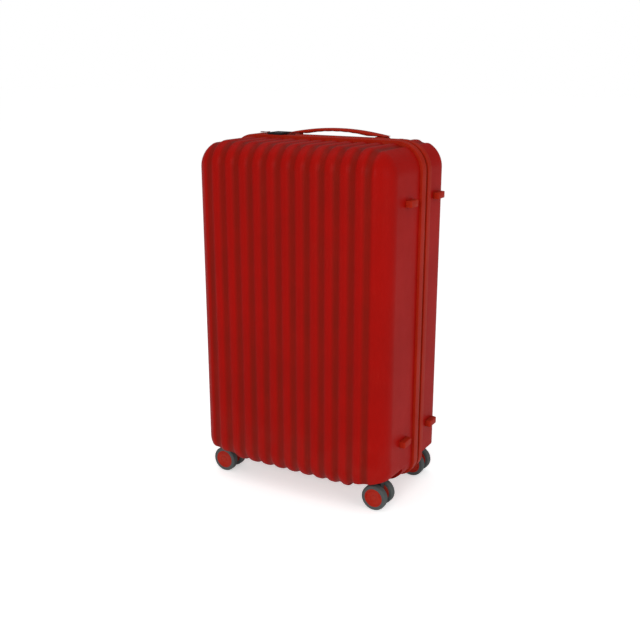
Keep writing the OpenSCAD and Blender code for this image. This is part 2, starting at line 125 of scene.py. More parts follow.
@contextmanager
def editing(obj: Obj, kind: Kind = Kind.VERTS) -> Iterator[None]:
    """Enters edit mode on obj for the body of a with statement.

    Args:
        obj: The object to edit.
        kind: What its select mode picks.
    """
    activate(obj)
    bpy.context.tool_settings.mesh_select_mode = kind.value
    bpy.ops.object.mode_set(mode="EDIT")
    try:
        yield
    finally:
        bpy.ops.object.mode_set(mode="OBJECT")


def pick(obj: Obj, kind: Kind, test: Callable[[Vector, Vector], bool]) -> int:
    """Selects what passes a test, for the next edit.

    Args:
        obj: The object whose mesh is searched, in object mode.
        kind: Vertices, edges or faces.
        test: Given the place and the direction (a vertex's or face's normal, an edge's span).

    Returns:
        How many were selected.
    """
    mesh = obj.data
    for group in (mesh.vertices, mesh.edges, mesh.polygons):
        group.foreach_set("select", np.zeros(len(group), dtype=bool))
    count = 0
    if kind is Kind.VERTS:
        found = [(v, v.co, v.normal) for v in mesh.vertices]
    elif kind is Kind.FACES:
        found = [(p, p.center, p.normal) for p in mesh.polygons]
    else:
        ends = [(mesh.vertices[e.vertices[0]].co, mesh.vertices[e.vertices[1]].co) for e in mesh.edges]
        found = [(e, (a + b) / 2, b - a) for e, (a, b) in zip(mesh.edges, ends)]
    for item, place, way in found:
        if test(place, way):
            item.select = True
            count += 1
    return count


def own(obj: Obj, name: str) -> Obj:
    """Names a new object and its mesh.

    Args:
        obj: The new object.
        name: The name for both.

    Returns:
        The object.
    """
    obj.name = name
    obj.data.name = name
    return obj


def apply_place(obj: Obj) -> None:
    """Moves the object's place, turn and scale into its mesh."""
    activate(obj)
    bpy.ops.object.transform_apply(location=True, rotation=True, scale=True)


def block(name: str, low: Point, high: Point) -> Obj:
    """Adds a box between two corners.

    Args:
        name: The new object's name.
        low: Its lowest corner.
        high: Its highest corner.

    Returns:
        The box.
    """
    deselect()
    low_v, high_v = Vector(low), Vector(high)
    bpy.ops.mesh.primitive_cube_add(size=1.0, location=(low_v + high_v) / 2)
    obj = own(bpy.context.active_object, name)
    obj.scale = high_v - low_v
    apply_place(obj)
    return obj


def from_points(name: str, verts: Sequence[Point], edges: Sequence[Sequence[int]] = (),
                faces: Sequence[Sequence[int]] = ()) -> Obj:
    """Makes an object from points and the edges or faces that join them.

    Args:
        name: The new object's name.
        verts: The points.
        edges: Pairs of point numbers.
        faces: Rings of point numbers.

    Returns:
        The object.
    """
    mesh = bpy.data.meshes.new(name)
    mesh.from_pydata([tuple(v) for v in verts], [tuple(e) for e in edges], [tuple(f) for f in faces])
    obj = bpy.data.objects.new(name, mesh)
    bpy.context.collection.objects.link(obj)
    return obj


def add_modifier(obj: Obj, kind: str, **settings: object) -> None:
    """Adds a modifier with its settings and applies it.

    Args:
        obj: The object it changes.
        kind: The modifier's type, such as BEVEL.
        **settings: Its properties by name.
    """
    activate(obj)
    mod = obj.modifiers.new(kind.lower(), kind)
    for key, value in settings.items():
        setattr(mod, key, value)
    bpy.ops.object.modifier_apply(modifier=mod.name)


def soften(obj: Obj, width: float, segments: int = 3, angle: float = 35.0) -> None:
    """Rounds every edge sharper than an angle in degrees."""
    add_modifier(obj, "BEVEL", width=width, segments=segments, limit_method="ANGLE",
                 angle_limit=math.radians(angle), use_clamp_overlap=True)


def tidy_normals(obj: Obj, merge: float = 1e-6) -> None:
    """Merges doubles and turns every face outwards.

    Args:
        obj: The object to mend.
        merge: Points closer than this become one.
    """
    with editing(obj):
        bpy.ops.mesh.select_all(action="SELECT")
        bpy.ops.mesh.remove_doubles(threshold=merge)
        bpy.ops.mesh.normals_make_consistent(inside=False)


def smooth(obj: Obj, angle: float = 35.0) -> None:
    """Shades the object smooth, with edges sharper than an angle in degrees kept sharp."""
    activate(obj)
    bpy.ops.object.shade_smooth_by_angle(angle=math.radians(angle))


def dress(obj: Obj, material: bpy.types.Material) -> None:
    """Gives the whole object one material.

    Args:
        obj: The object.
        material: The material for each of its slots.
    """
    if obj.material_slots:
        for slot in obj.material_slots:
            slot.material = material
    else:
        obj.data.materials.append(material)


def join(name: str, pieces: Sequence[Obj]) -> Obj:
    """Joins separate meshes into one object.

    Args:
        name: The joined object's name.
        pieces: The objects; the first one's materials come first.

    Returns:
        The joined object.
    """
    deselect()
    for piece in pieces:
        piece.select_set(True)
    bpy.context.view_layer.objects.active = pieces[0]
    if len(pieces) > 1:
        bpy.ops.object.join()
    return own(bpy.context.active_object, name)


def cut(obj: Obj, cutters: Sequence[Obj]) -> None:
    """Cuts shapes out of an object and removes them.

    Args:
        obj: The object that is cut.
        cutters: Closed shapes, which are joined first.
    """
    tool = join(f"{obj.name}_cutter", list(cutters))
    add_modifier(obj, "BOOLEAN", operation="DIFFERENCE", object=tool, solver="EXACT")
    bpy.data.objects.remove(tool, do_unlink=True)


def prism(name: str, outline: Outline, y0: float, y1: float) -> Obj:
    """Extrudes an outline from one Y to another.

    Args:
        name: The new object's name.
        outline: Points of (x, z).
        y0: Where it starts.
        y1: Where it ends.

    Returns:
        The prism, closed.
    """
    obj = from_points(name, [(x, y0, z) for x, z in outline], faces=[list(range(len(outline)))])
    with editing(obj, Kind.FACES):
        bpy.ops.mesh.select_all(action="SELECT")
        bpy.ops.mesh.extrude_region_move(TRANSFORM_OT_translate={"value": (0, y1 - y0, 0)})
    tidy_normals(obj)
    return obj


def turned(name: str, profile: Outline, centre: Point, axis: Point, steps: int = 64) -> Obj:
    """Turns a profile about an axis, as on a lathe.

    Args:
        name: The new object's name.
        profile: Points of (radius, distance along the axis); closed if it starts and ends off the axis.
        centre: A point on the axis, from which the distances run.
        axis: The axis's direction.
        steps: Steps round the full turn.

    Returns:
        The turned object, closed and with its faces outwards.
    """
    along = Vector(axis).normalized()
    side = along.orthogonal().normalized()
    start = Vector(centre)
    verts = [start + side * r + along * d for r, d in profile]
    count = len(verts)
    edges = [(i, i + 1) for i in range(count - 1)]
    if profile[0][0] > 0 and profile[-1][0] > 0:
        edges.append((count - 1, 0))
    obj = from_points(name, verts, edges)
    with editing(obj):
        bpy.ops.mesh.select_all(action="SELECT")
        bpy.ops.mesh.spin(steps=steps, angle=2 * math.pi, center=start, axis=along)
    tidy_normals(obj, 1e-5)
    return obj


def grid_block(name: str, low: Point, high: Point, cells: Sequence[Sequence[int]]) -> Obj:
    """Adds a box whose faces are cut into cells.

    Args:
        name: The new object's name.
        low: Lowest corner.
        high: Highest corner.
        cells: For X, Y and Z, the factors whose product is the number of cells along it.

    Returns:
        The box, closed.
    """
    obj = block(name, low, high)
    for axis, factors in enumerate(cells):
        for factor in factors:
            if factor < 2:
                continue
            pick(obj, Kind.EDGES, lambda _, way: abs(way[axis]) > 0.99 * way.length)
            with editing(obj, Kind.EDGES):
                bpy.ops.mesh.subdivide(number_cuts=factor - 1)
    return obj


def read_points(obj: Obj) -> np.ndarray:
    """The mesh's points as an array.

    Args:
        obj: The object.

    Returns:
        A row of X, Y and Z for each point.
    """
    flat = np.empty(len(obj.data.vertices) * 3)
    obj.data.vertices.foreach_get("co", flat)
    return flat.reshape(-1, 3)


def write_points(obj: Obj, points: np.ndarray) -> None:
    """Puts an array of rows back as the mesh's points."""
    obj.data.vertices.foreach_set("co", points.ravel())
    obj.data.update()


def ease(low: float, high: float, value: np.ndarray) -> np.ndarray:
    """A smooth step from 0 at low to 1 at high."""
    t = np.clip((value - low) / (high - low), 0.0, 1.0)
    return t * t * (3 - 2 * t)


def copies(name: str, model: Obj, places: Sequence[Matrix]) -> Obj:
    """Makes one object that holds a copy of a small model at each place, and removes the model.

    Args:
        name: The new object's name.
        model: The model, placed round the origin.
        places: Where each copy goes.

    Returns:
        The object with all the copies.
    """
    points = read_points(model)
    faces = [list(p.vertices) for p in model.data.polygons]
    verts, all_faces = [], []
    for place in places:
        base = len(verts)
        turn = np.array(place.to_3x3())
        moved = points @ turn.T + np.array(place.translation)
        verts.extend(map(tuple, moved))
        all_faces.extend([[base + i for i in f] for f in faces])
    bpy.data.objects.remove(model, do_unlink=True)
    return from_points(name, verts, faces=all_faces)


def wander(points: np.ndarray, scales: Point, shift: Point = (0, 0, 0)) -> np.ndarray:
    """Smooth noise at some points.

    Args:
        points: Rows of X, Y and Z.
        scales: How fast it changes along each axis.
        shift: Added after the scales, so that two calls differ.

    Returns:
        A value from -1 to 1 for each row.
    """
    return np.array([noise.noise(Vector(spot)) for spot in points * np.array(scales) + np.array(shift)])


# ---- shader groups --------------------------------------------------------


def linear(red: int, green: int, blue: int) -> Colour:
    """A display colour as the linear colour that shaders take.

    Args:
        red: Red, 0 to 255.
        green: Green, 0 to 255.
        blue: Blue, 0 to 255.

    Returns:
        The linear colour, opaque.
    """
    def channel(value: int) -> float:
        """One channel, unwound from display gamma."""
        v = value / 255
        return v / 12.92 if v <= 0.04045 else ((v + 0.055) / 1.055) ** 2.4

    return channel(red), channel(green), channel(blue), 1.0


def scaled(colour: Colour, factor: float) -> Colour:
    """A colour made darker or paler, held at 1."""
    return tuple(min(1.0, part * factor) for part in colour[:3]) + (1.0,)


DUST = linear(150, 132, 120)
WHITE = (1.0, 1.0, 1.0, 1.0)


@dataclass
class Sheet:
    """A node tree being written."""

    tree: bpy.types.NodeTree

    def plug(self, target: Link, value: object) -> None:
        """Feeds a socket.

        Args:
            target: The socket that is fed.
            value: Its value, or the socket to link to it.
        """
        if isinstance(value, bpy.types.NodeSocket):
            self.tree.links.new(value, target)
        else:
            target.default_value = value

    def add(self, kind: str, inputs: dict[object, object] | None = None, **props: object) -> bpy.types.Node:
        """Adds a node.

        Args:
            kind: The node's type name.
            inputs: Socket name or number to a value or to the socket that feeds it.
            **props: The node's own properties.

        Returns:
            The node.
        """
        node = self.tree.nodes.new(kind)
        for key, value in props.items():
            setattr(node, key, value)
        for key, value in (inputs or {}).items():
            self.plug(node.inputs[key], value)
        return node

    def math(self, operation: str, a: object, b: object = 0.0) -> Link:
        """A sum on one or two values."""
        return self.add("ShaderNodeMath", {0: a, 1: b}, operation=operation).outputs[0]

    def times(self, first: object, *others: object) -> Link:
        """Values multiplied together.

        Args:
            first: The first value or socket.
            *others: The rest.

        Returns:
            The product's socket.
        """
        for other in others:
            first = self.math("MULTIPLY", first, other)
        return first

    def mix(self, factor: object, a: object, b: object) -> Link:
        """Two colours mixed by a factor."""
        return self.add("ShaderNodeMix", {0: factor, 6: a, 7: b}, data_type="RGBA").outputs[2]

    def axis(self, vector: Link, number: int) -> Link:
        """One part of a vector, 0 to 2 for X to Z."""
        return self.add("ShaderNodeSeparateXYZ", {0: vector}).outputs[number]

    def bump(self, height: Link, strength: float, distance: float) -> Link:
        """A normal bent by a height."""
        bent = {"Height": height, "Strength": strength, "Distance": distance}
        return self.add("ShaderNodeBump", bent).outputs[0]

    def span(self, value: Link, low: float, high: float, to_low: float = 0.0, to_high: float = 1.0) -> Link:
        """A value's span carried over to another, with its ends held."""
        return self.add("ShaderNodeMapRange", {0: value, 1: low, 2: high, 3: to_low, 4: to_high}).outputs[0]

    def noise(self, where: Link, scale: float, detail: float = 3.0, rough: float = 0.5) -> Link:
        """Noise from 0 to 1 at a place."""
        return self.add("ShaderNodeTexNoise", {"Vector": where, "Scale": scale, "Detail": detail,
                                               "Roughness": rough}).outputs[0]


def make_group(name: str, inputs: dict[str, tuple[str, object]], outputs: dict[str, str],
               fill: Callable[[Sheet, dict[str, Link]], dict[str, Link]]) -> bpy.types.NodeTree:
    """Builds a shader node group.

    Args:
        name: The group's name.
        inputs: Input name to its kind and default.
        outputs: Output name to its kind.
        fill: Given the sheet and the input sockets, returns the socket for each output.

    Returns:
        The group.
    """
    kinds = {"float": "NodeSocketFloat", "vector": "NodeSocketVector", "colour": "NodeSocketColor"}
    tree = bpy.data.node_groups.new(name, "ShaderNodeTree")
    for label, (kind, default) in inputs.items():
        socket = tree.interface.new_socket(name=label, in_out="INPUT", socket_type=kinds[kind])
        if default is not None:
            socket.default_value = default
    for label, kind in outputs.items():
        tree.interface.new_socket(name=label, in_out="OUTPUT", socket_type=kinds[kind])
    sheet = Sheet(tree)
    source = tree.nodes.new("NodeGroupInput")
    sink = tree.nodes.new("NodeGroupOutput")
    for label, socket in fill(sheet, {s.name: s for s in source.outputs if s.name}).items():
        tree.links.new(socket, sink.inputs[label])
    return tree


def fill_grain(sheet: Sheet, given: dict[str, Link]) -> dict[str, Link]:
    """Fine moulded grain: small cells broken up by noise.

    Args:
        sheet: The group's sheet.
        given: Its inputs: Place and Scale.

    Returns:
        Its Height.
    """
    spread = {0: given["Place"], 3: given["Scale"]}
    where = sheet.add("ShaderNodeVectorMath", spread, operation="SCALE").outputs[0]
    cells = sheet.add("ShaderNodeTexVoronoi", {"Vector": where, "Scale": 1.0}, feature="SMOOTH_F1").outputs[0]
    fine = sheet.noise(where, scale=2.7, detail=2.0)
    return {"Height": sheet.math("ADD", sheet.times(cells, 0.6), sheet.times(fine, 0.4))}


def fill_mottle(sheet: Sheet, given: dict[str, Link]) -> dict[str, Link]:
    """Slow changes of tone over a moulding.

    Args:
        sheet: The group's sheet.
        given: Its input: Place.

    Returns:
        Its Tone.
    """
    broad = sheet.noise(given["Place"], scale=5.0, detail=4.0, rough=0.6)
    close = sheet.noise(given["Place"], scale=38.0, detail=3.0, rough=0.6)
    both = sheet.math("ADD", sheet.times(broad, 0.7), sheet.times(close, 0.3))
    return {"Tone": sheet.span(both, low=0.3, high=0.7)}


def fill_rub(sheet: Sheet, given: dict[str, Link]) -> dict[str, Link]:
    """Wear on raised edges, broken up by noise.

    Args:
        sheet: The group's sheet.
        given: Its inputs: Place and Amount.

    Returns:
        Its Mask.
    """
    edge = sheet.span(sheet.add("ShaderNodeNewGeometry").outputs["Pointiness"], low=0.52, high=0.60)
    patch = sheet.span(sheet.noise(given["Place"], scale=60.0, detail=5.0, rough=0.7), low=0.42, high=0.68)
    return {"Mask": sheet.times(edge, patch, given["Amount"])}


def fill_scuffs(sheet: Sheet, given: dict[str, Link]) -> dict[str, Link]:
    """Hairline scratches in a few directions, only here and there.

    Args:
        sheet: The group's sheet.
        given: Its inputs: Place and Amount.

    Returns:
        Its Mask.
    """
    lines = None
    for turn, stretch in ((0.3, 34.0), (1.25, 42.0), (2.2, 30.0)):
        drawn = {"Vector": given["Place"], "Rotation": (turn * 0.4, turn, turn * 1.7),
                 "Scale": (stretch, stretch, 1.6)}
        thin = sheet.noise(sheet.add("ShaderNodeMapping", drawn).outputs[0], scale=9.0, detail=1.0, rough=0.4)
        away = sheet.math("ABSOLUTE", sheet.math("SUBTRACT", thin, 0.5))
        line = sheet.span(away, low=0.0, high=0.012, to_low=1.0, to_high=0.0)
        lines = line if lines is None else sheet.math("MAXIMUM", lines, line)
    where = sheet.span(sheet.noise(given["Place"], scale=11.0), low=0.52, high=0.66)
    return {"Mask": sheet.times(lines, where, given["Amount"])}


def fill_dust(sheet: Sheet, given: dict[str, Link]) -> dict[str, Link]:
    """Dust that gathers low down and on what faces up.

    Args:
        sheet: The group's sheet.
        given: Its inputs: Place and Amount.

    Returns:
        Its Mask.
    """
    low = sheet.span(sheet.axis(given["Place"], 2), low=0.02, high=0.16, to_low=1.0, to_high=0.0)
    normal = sheet.add("ShaderNodeNewGeometry").outputs["Normal"]
    up = sheet.span(sheet.axis(normal, 2), low=0.6, high=1.0)
    settled = sheet.math("MAXIMUM", low, sheet.times(up, 0.6))
    broken = sheet.span(sheet.noise(given["Place"], scale=26.0, detail=6.0, rough=0.65), low=0.35, high=0.75)
    return {"Mask": sheet.times(settled, broken, given["Amount"])}


def fill_weave(sheet: Sheet, given: dict[str, Link]) -> dict[str, Link]:
    """Plain weave: threads over and under each other in the X-Z plane, with slubs.

    Args:
        sheet: The group's sheet.
        given: Its inputs: Place and Pitch, in threads to a metre.

    Returns:
        Its Height and its Thread, which is the height with the slubs.
    """
    part = sheet.add("ShaderNodeSeparateXYZ", {0: given["Place"]}).outputs
    across = sheet.times(sheet.math("ADD", part[0], part[1]), given["Pitch"])
    up = sheet.times(part[2], given["Pitch"])
    warp = sheet.math("ABSOLUTE", sheet.math("SINE", sheet.times(across, math.pi)))
    weft = sheet.math("ABSOLUTE", sheet.math("SINE", sheet.times(up, math.pi)))
    square = sheet.math("ADD", sheet.math("FLOOR", across), sheet.math("FLOOR", up))
    odd = sheet.math("ABSOLUTE", sheet.math("MODULO", square, 2.0))
    over = sheet.math("GREATER_THAN", odd, 0.5)
    under = sheet.math("SUBTRACT", 1.0, over)
    height = sheet.math("ADD", sheet.times(warp, over), sheet.times(weft, under))
    slub = sheet.span(sheet.noise(given["Place"], scale=420.0, detail=2.0), low=0.2, high=0.8, to_low=0.7)
    return {"Height": height, "Thread": sheet.times(height, slub)}


@dataclass
class Effects:
    """The shader groups that more than one finish uses, each built once."""

    built: dict[str, bpy.types.NodeTree] = field(default_factory=dict)

    RECIPES: ClassVar[dict] = {
        "grain": ({"Place": ("vector", None), "Scale": ("float", 900.0)}, {"Height": "float"}, fill_grain),
        "mottle": ({"Place": ("vector", None)}, {"Tone": "float"}, fill_mottle),
        "rub": ({"Place": ("vector", None), "Amount": ("float", 1.0)}, {"Mask": "float"}, fill_rub),
        "scuffs": ({"Place": ("vector", None), "Amount": ("float", 1.0)}, {"Mask": "float"}, fill_scuffs),
        "dust": ({"Place": ("vector", None), "Amount": ("float", 1.0)}, {"Mask": "float"}, fill_dust),
        "weave": ({"Place": ("vector", None), "Pitch": ("float", 700.0)},
                  {"Height": "float", "Thread": "float"}, fill_weave),
    }

    def place(self, sheet: Sheet, name: str, **values: object) -> bpy.types.Node:
        """Puts a group in a material.

        Args:
            sheet: The material's sheet.
            name: The effect.
            **values: Its inputs by name, as values or sockets.

        Returns:
            The group's node.
        """
        if name not in self.built:
            inputs, outputs, fill = self.RECIPES[name]
            self.built[name] = make_group(f"suitcase_{name}", inputs, outputs, fill)
        return sheet.add("ShaderNodeGroup", values, node_tree=self.built[name])


EFFECTS = Effects()


# ---- finishes --------------------------------------------------------------


def new_material(name: str) -> tuple[bpy.types.Material, Sheet, bpy.types.Node, Link]:
    """Starts a material with one Principled shader.

    Args:
        name: The material's name.

    Returns:
        The material, its sheet, the shader and the object coordinates.
    """
    material = bpy.data.materials.new(name)
    material.use_nodes = True
    sheet = Sheet(material.node_tree)
    shader = material.node_tree.nodes["Principled BSDF"]
    return material, sheet, shader, sheet.add("ShaderNodeTexCoord").outputs["Object"]


def feed(sheet: Sheet, shader: bpy.types.Node, **sockets: object) -> None:
    """Sets or links the shader's inputs, named with underscores for spaces."""
    for key, value in sockets.items():
        sheet.plug(shader.inputs[key.replace("_", " ")], value)


@dataclass(frozen=True)
class Moulding:
    """Moulded plastic with a fine grain, a little tone, scuffs, rubbed edges, dust and, if a valley colour is
    given, painted shade in the rib valleys.
    """

    name: str
    colour: Colour
    deep: Colour
    rubbed: Colour
    roughness: float = 0.42
    grain_scale: float = 1100.0
    grain_depth: float = 0.06
    wear: float = 0.5
    scuff: float = 0.3
    dust: float = 0.12
    specular: float = 0.12
    # valley: the colour of painted shade in the valleys between the ribs
    valley: Colour | None = None
    valley_pitch: float = 30 * MM
    valley_reach: float = 184 * MM

    def material(self) -> bpy.types.Material:
        """Builds the material.

        Returns:
            The material.
        """
        material, sheet, shader, place = new_material(self.name)
        tone = EFFECTS.place(sheet, "mottle", Place=place).outputs["Tone"]
        base = sheet.mix(tone, self.deep, self.colour)
        # painted shade: the valleys between the ribs are darkened with the valley colour
        if self.valley:
            base = sheet.mix(self.valley_mask(sheet, place), base, self.valley)
        rub = EFFECTS.place(sheet, "rub", Place=place, Amount=self.wear).outputs["Mask"]
        scuff = EFFECTS.place(sheet, "scuffs", Place=place, Amount=self.scuff).outputs["Mask"]
        dust = EFFECTS.place(sheet, "dust", Place=place, Amount=self.dust).outputs["Mask"]
        worn = sheet.mix(sheet.math("MAXIMUM", rub, scuff), base, self.rubbed)
        dusty = sheet.mix(dust, worn, DUST)
        grain = EFFECTS.place(sheet, "grain", Place=place, Scale=self.grain_scale).outputs["Height"]
        height = sheet.math("SUBTRACT", grain, sheet.times(scuff, 0.6))
        bump = sheet.bump(height, strength=self.grain_depth, distance=0.4 * MM)
        clean = sheet.span(tone, 0.0, 1.0, to_low=self.roughness + 0.05, to_high=self.roughness - 0.04)
        rough = sheet.math("ADD", clean, sheet.times(sheet.math("MAXIMUM", scuff, dust), 0.2))
        feed(sheet, shader, Base_Color=dusty, Roughness=rough, Normal=bump, Specular_IOR_Level=self.specular)
        return material

    def valley_mask(self, sheet: Sheet, place: Link) -> Link:
        """Masks the valleys between the ribs, where shade is painted.

        Args:
            sheet: The material's sheet.
            place: The object coordinates.

        Returns:
            A mask, 1 at the bottom of a valley.
        """
        x = sheet.axis(place, 0)
        wave = sheet.math("COSINE", sheet.times(x, 2 * math.pi / self.valley_pitch))
        deep = sheet.span(wave, low=0.35, high=-0.75)
        within = sheet.math("LESS_THAN", sheet.math("ABSOLUTE", x), self.valley_reach)
        broken = sheet.span(sheet.noise(place, scale=9.0, rough=0.6), low=0.25, high=0.75, to_low=0.55)
        return sheet.times(deep, within, broken)


@dataclass(frozen=True)
class Metal:
    """Brushed or plated metal, drawn along Z."""

    name: str
    colour: Colour
    roughness: float = 0.28
    brushing: tuple[float, float, float] = (900.0, 900.0, 6.0)

    def material(self) -> bpy.types.Material:
        """Builds the material.

        Returns:
            The material.
        """
        material, sheet, shader, place = new_material(self.name)
        drawn = sheet.add("ShaderNodeMapping", {"Vector": place, "Scale": self.brushing}).outputs[0]
        streak = sheet.noise(drawn, scale=1.0, rough=0.6)
        tone = EFFECTS.place(sheet, "mottle", Place=place).outputs["Tone"]
        scuff = EFFECTS.place(sheet, "scuffs", Place=place, Amount=0.5).outputs["Mask"]
        base = sheet.mix(sheet.times(streak, tone), self.colour, scaled(self.colour, 0.78))
        clean = sheet.span(streak, 0.3, 0.7, to_low=self.roughness - 0.06, to_high=self.roughness + 0.08)
        rough = sheet.math("ADD", clean, sheet.times(scuff, 0.15))
        bump = sheet.bump(streak, strength=0.04, distance=0.1 * MM)
        feed(sheet, shader, Base_Color=base, Roughness=rough, Metallic=1.0, Normal=bump)
        return material


@dataclass(frozen=True)
class Cloth:
    """Woven cloth: threads, slubs and a soft sheen."""

    name: str
    colour: Colour
    thread: Colour
    pitch: float = 900.0
    depth: float = 0.5
    sheen: float = 0.25

    def material(self) -> bpy.types.Material:
        """Builds the material.

        Returns:
            The material.
        """
        material, sheet, shader, place = new_material(self.name)
        weave = EFFECTS.place(sheet, "weave", Place=place, Pitch=self.pitch)
        tone = EFFECTS.place(sheet, "mottle", Place=place).outputs["Tone"]
        base = sheet.mix(weave.outputs["Thread"], self.colour, self.thread)
        faded = sheet.mix(sheet.times(tone, 0.25), base, self.thread)
        bump = sheet.bump(weave.outputs["Height"], strength=self.depth, distance=0.3 * MM)
        rough = sheet.span(tone, 0.0, 1.0, to_low=0.9, to_high=0.78)
        feed(sheet, shader, Base_Color=faded, Roughness=rough, Normal=bump, Sheen_Weight=self.sheen,
             Sheen_Roughness=0.4, Specular_IOR_Level=0.25)
        return material


@dataclass(frozen=True)
class Tread:
    """Cast polyurethane tyre: matt, with a fine grain and floor dust."""

    name: str
    colour: Colour
    dusty: Colour

    def material(self) -> bpy.types.Material:
        """Builds the material.

        Returns:
            The material.
        """
        material, sheet, shader, place = new_material(self.name)
        tone = EFFECTS.place(sheet, "mottle", Place=place).outputs["Tone"]
        dust = EFFECTS.place(sheet, "dust", Place=place, Amount=0.5).outputs["Mask"]
        grain = EFFECTS.place(sheet, "grain", Place=place, Scale=1600.0).outputs["Height"]
        base = sheet.mix(sheet.math("MAXIMUM", dust, sheet.times(tone, 0.3)), self.colour, self.dusty)
        bump = sheet.bump(grain, strength=0.15, distance=0.3 * MM)
        rough = sheet.span(tone, 0.0, 1.0, to_low=0.62, to_high=0.78)
        feed(sheet, shader, Base_Color=base, Roughness=rough, Normal=bump, Specular_IOR_Level=0.35)
        return material


@dataclass(frozen=True)
class Ground:
    """The plain pale floor, with the faintest tone and a glow that is stronger for the camera."""

    name: str
    colour: Colour
    seen_glow: float
    glow: float

    def material(self) -> bpy.types.Material:
        """Builds the material.

        Returns:
            The material.
        """
        material, sheet, shader, place = new_material(self.name)
        tone = sheet.mix(sheet.noise(place, scale=1.5, detail=2.0), self.colour, scaled(self.colour, 1.03))
        seen = sheet.add("ShaderNodeLightPath").outputs["Is Camera Ray"]
        glow = sheet.span(seen, 0.0, 1.0, to_low=self.glow, to_high=self.seen_glow)
        feed(sheet, shader, Base_Color=tone, Roughness=0.9, Specular_IOR_Level=0.0, Emission_Color=WHITE,
             Emission_Strength=glow)
        return material


class Wardrobe:
    """Every finish of the suitcase, built once and handed out by name."""

    def __init__(self) -> None:
        """Builds the materials."""
        finishes = [
            # shell_red: its valley colour is painted shade in the valleys between the ribs
            Moulding("shell_red", linear(164, 11, 5), linear(148, 11, 5), linear(176, 44, 30),
                     roughness=0.42, grain_scale=1300.0, grain_depth=0.10, wear=0.25, scuff=0.22,
                     dust=0.06, specular=0.05, valley=linear(123, 20, 9)),
            Moulding("rim_orange", linear(168, 31, 9), linear(152, 27, 8), linear(194, 78, 50),
                     roughness=0.46, grain_scale=1500.0, grain_depth=0.08, wear=0.3, scuff=0.2,
                     dust=0.06, specular=0.06),
            Moulding("handle_orange", linear(168, 31, 9), linear(150, 26, 8), linear(188, 74, 48),
                     roughness=0.56, grain_scale=1900.0, grain_depth=0.16, wear=0.3, scuff=0.1,
                     dust=0.05, specular=0.06),
            Moulding("hub_orange", linear(178, 30, 11), linear(164, 26, 9), linear(190, 80, 54),
                     roughness=0.44, grain_scale=1700.0, grain_depth=0.06, wear=0.3, scuff=0.3,
                     dust=0.12, specular=0.08),
            Moulding("zip_paint", linear(118, 18, 9), linear(98, 15, 8), linear(150, 66, 50),
                     roughness=0.38, grain_scale=2400.0, grain_depth=0.05, wear=0.5, scuff=0.2,
                     dust=0.05, specular=0.4),
            Moulding("dark_plastic", linear(30, 34, 36), linear(22, 26, 28), linear(78, 82, 84),
                     roughness=0.50, grain_scale=1400.0, grain_depth=0.16, wear=0.35, scuff=0.25,
                     dust=0.16, specular=0.3),
            Moulding("lock_black", linear(20, 25, 28), linear(14, 18, 20), linear(70, 74, 76),
                     roughness=0.34, grain_scale=1800.0, grain_depth=0.06, wear=0.4, scuff=0.3,
                     dust=0.05, specular=0.35),
            Moulding("zip_teeth", linear(96, 16, 10), linear(80, 13, 9), linear(130, 56, 44),
                     roughness=0.40, grain_scale=2200.0, grain_depth=0.05, wear=0.3, scuff=0.0, dust=0.10),
            Metal("steel", (0.52, 0.53, 0.54, 1.0)),
            Metal("dark_steel", (0.10, 0.11, 0.12, 1.0), roughness=0.32, brushing=(1200.0, 1200.0, 1200.0)),
            Metal("mast_aluminium", (0.62, 0.63, 0.65, 1.0), roughness=0.34, brushing=(1400.0, 1400.0, 4.0)),
            Cloth("zip_tape", linear(84, 14, 10), linear(112, 20, 15), pitch=1100.0, depth=0.6),
            Cloth("lining_cloth", linear(50, 47, 51), linear(76, 73, 79), pitch=1000.0, depth=0.35,
                  sheen=0.3),
            Cloth("mesh_cloth", linear(28, 27, 30), linear(88, 86, 92), pitch=420.0, depth=0.9, sheen=0.2),
            Cloth("webbing", linear(26, 28, 31), linear(58, 60, 64), pitch=620.0, depth=0.9),
            Cloth("binding", linear(112, 18, 11), linear(142, 30, 20), depth=0.6),
            Tread("tyre_grey", linear(72, 79, 80), linear(98, 98, 94)),
            Ground("floor_pale", (0.90, 0.90, 0.90, 1.0), seen_glow=0.50, glow=0.08),
        ]
        self.materials = {f.name: f.material() for f in finishes}

    def __getitem__(self, name: str) -> bpy.types.Material:
        """The material of that name."""
        return self.materials[name]


# ---- assembly base ----------------------------------------------------------


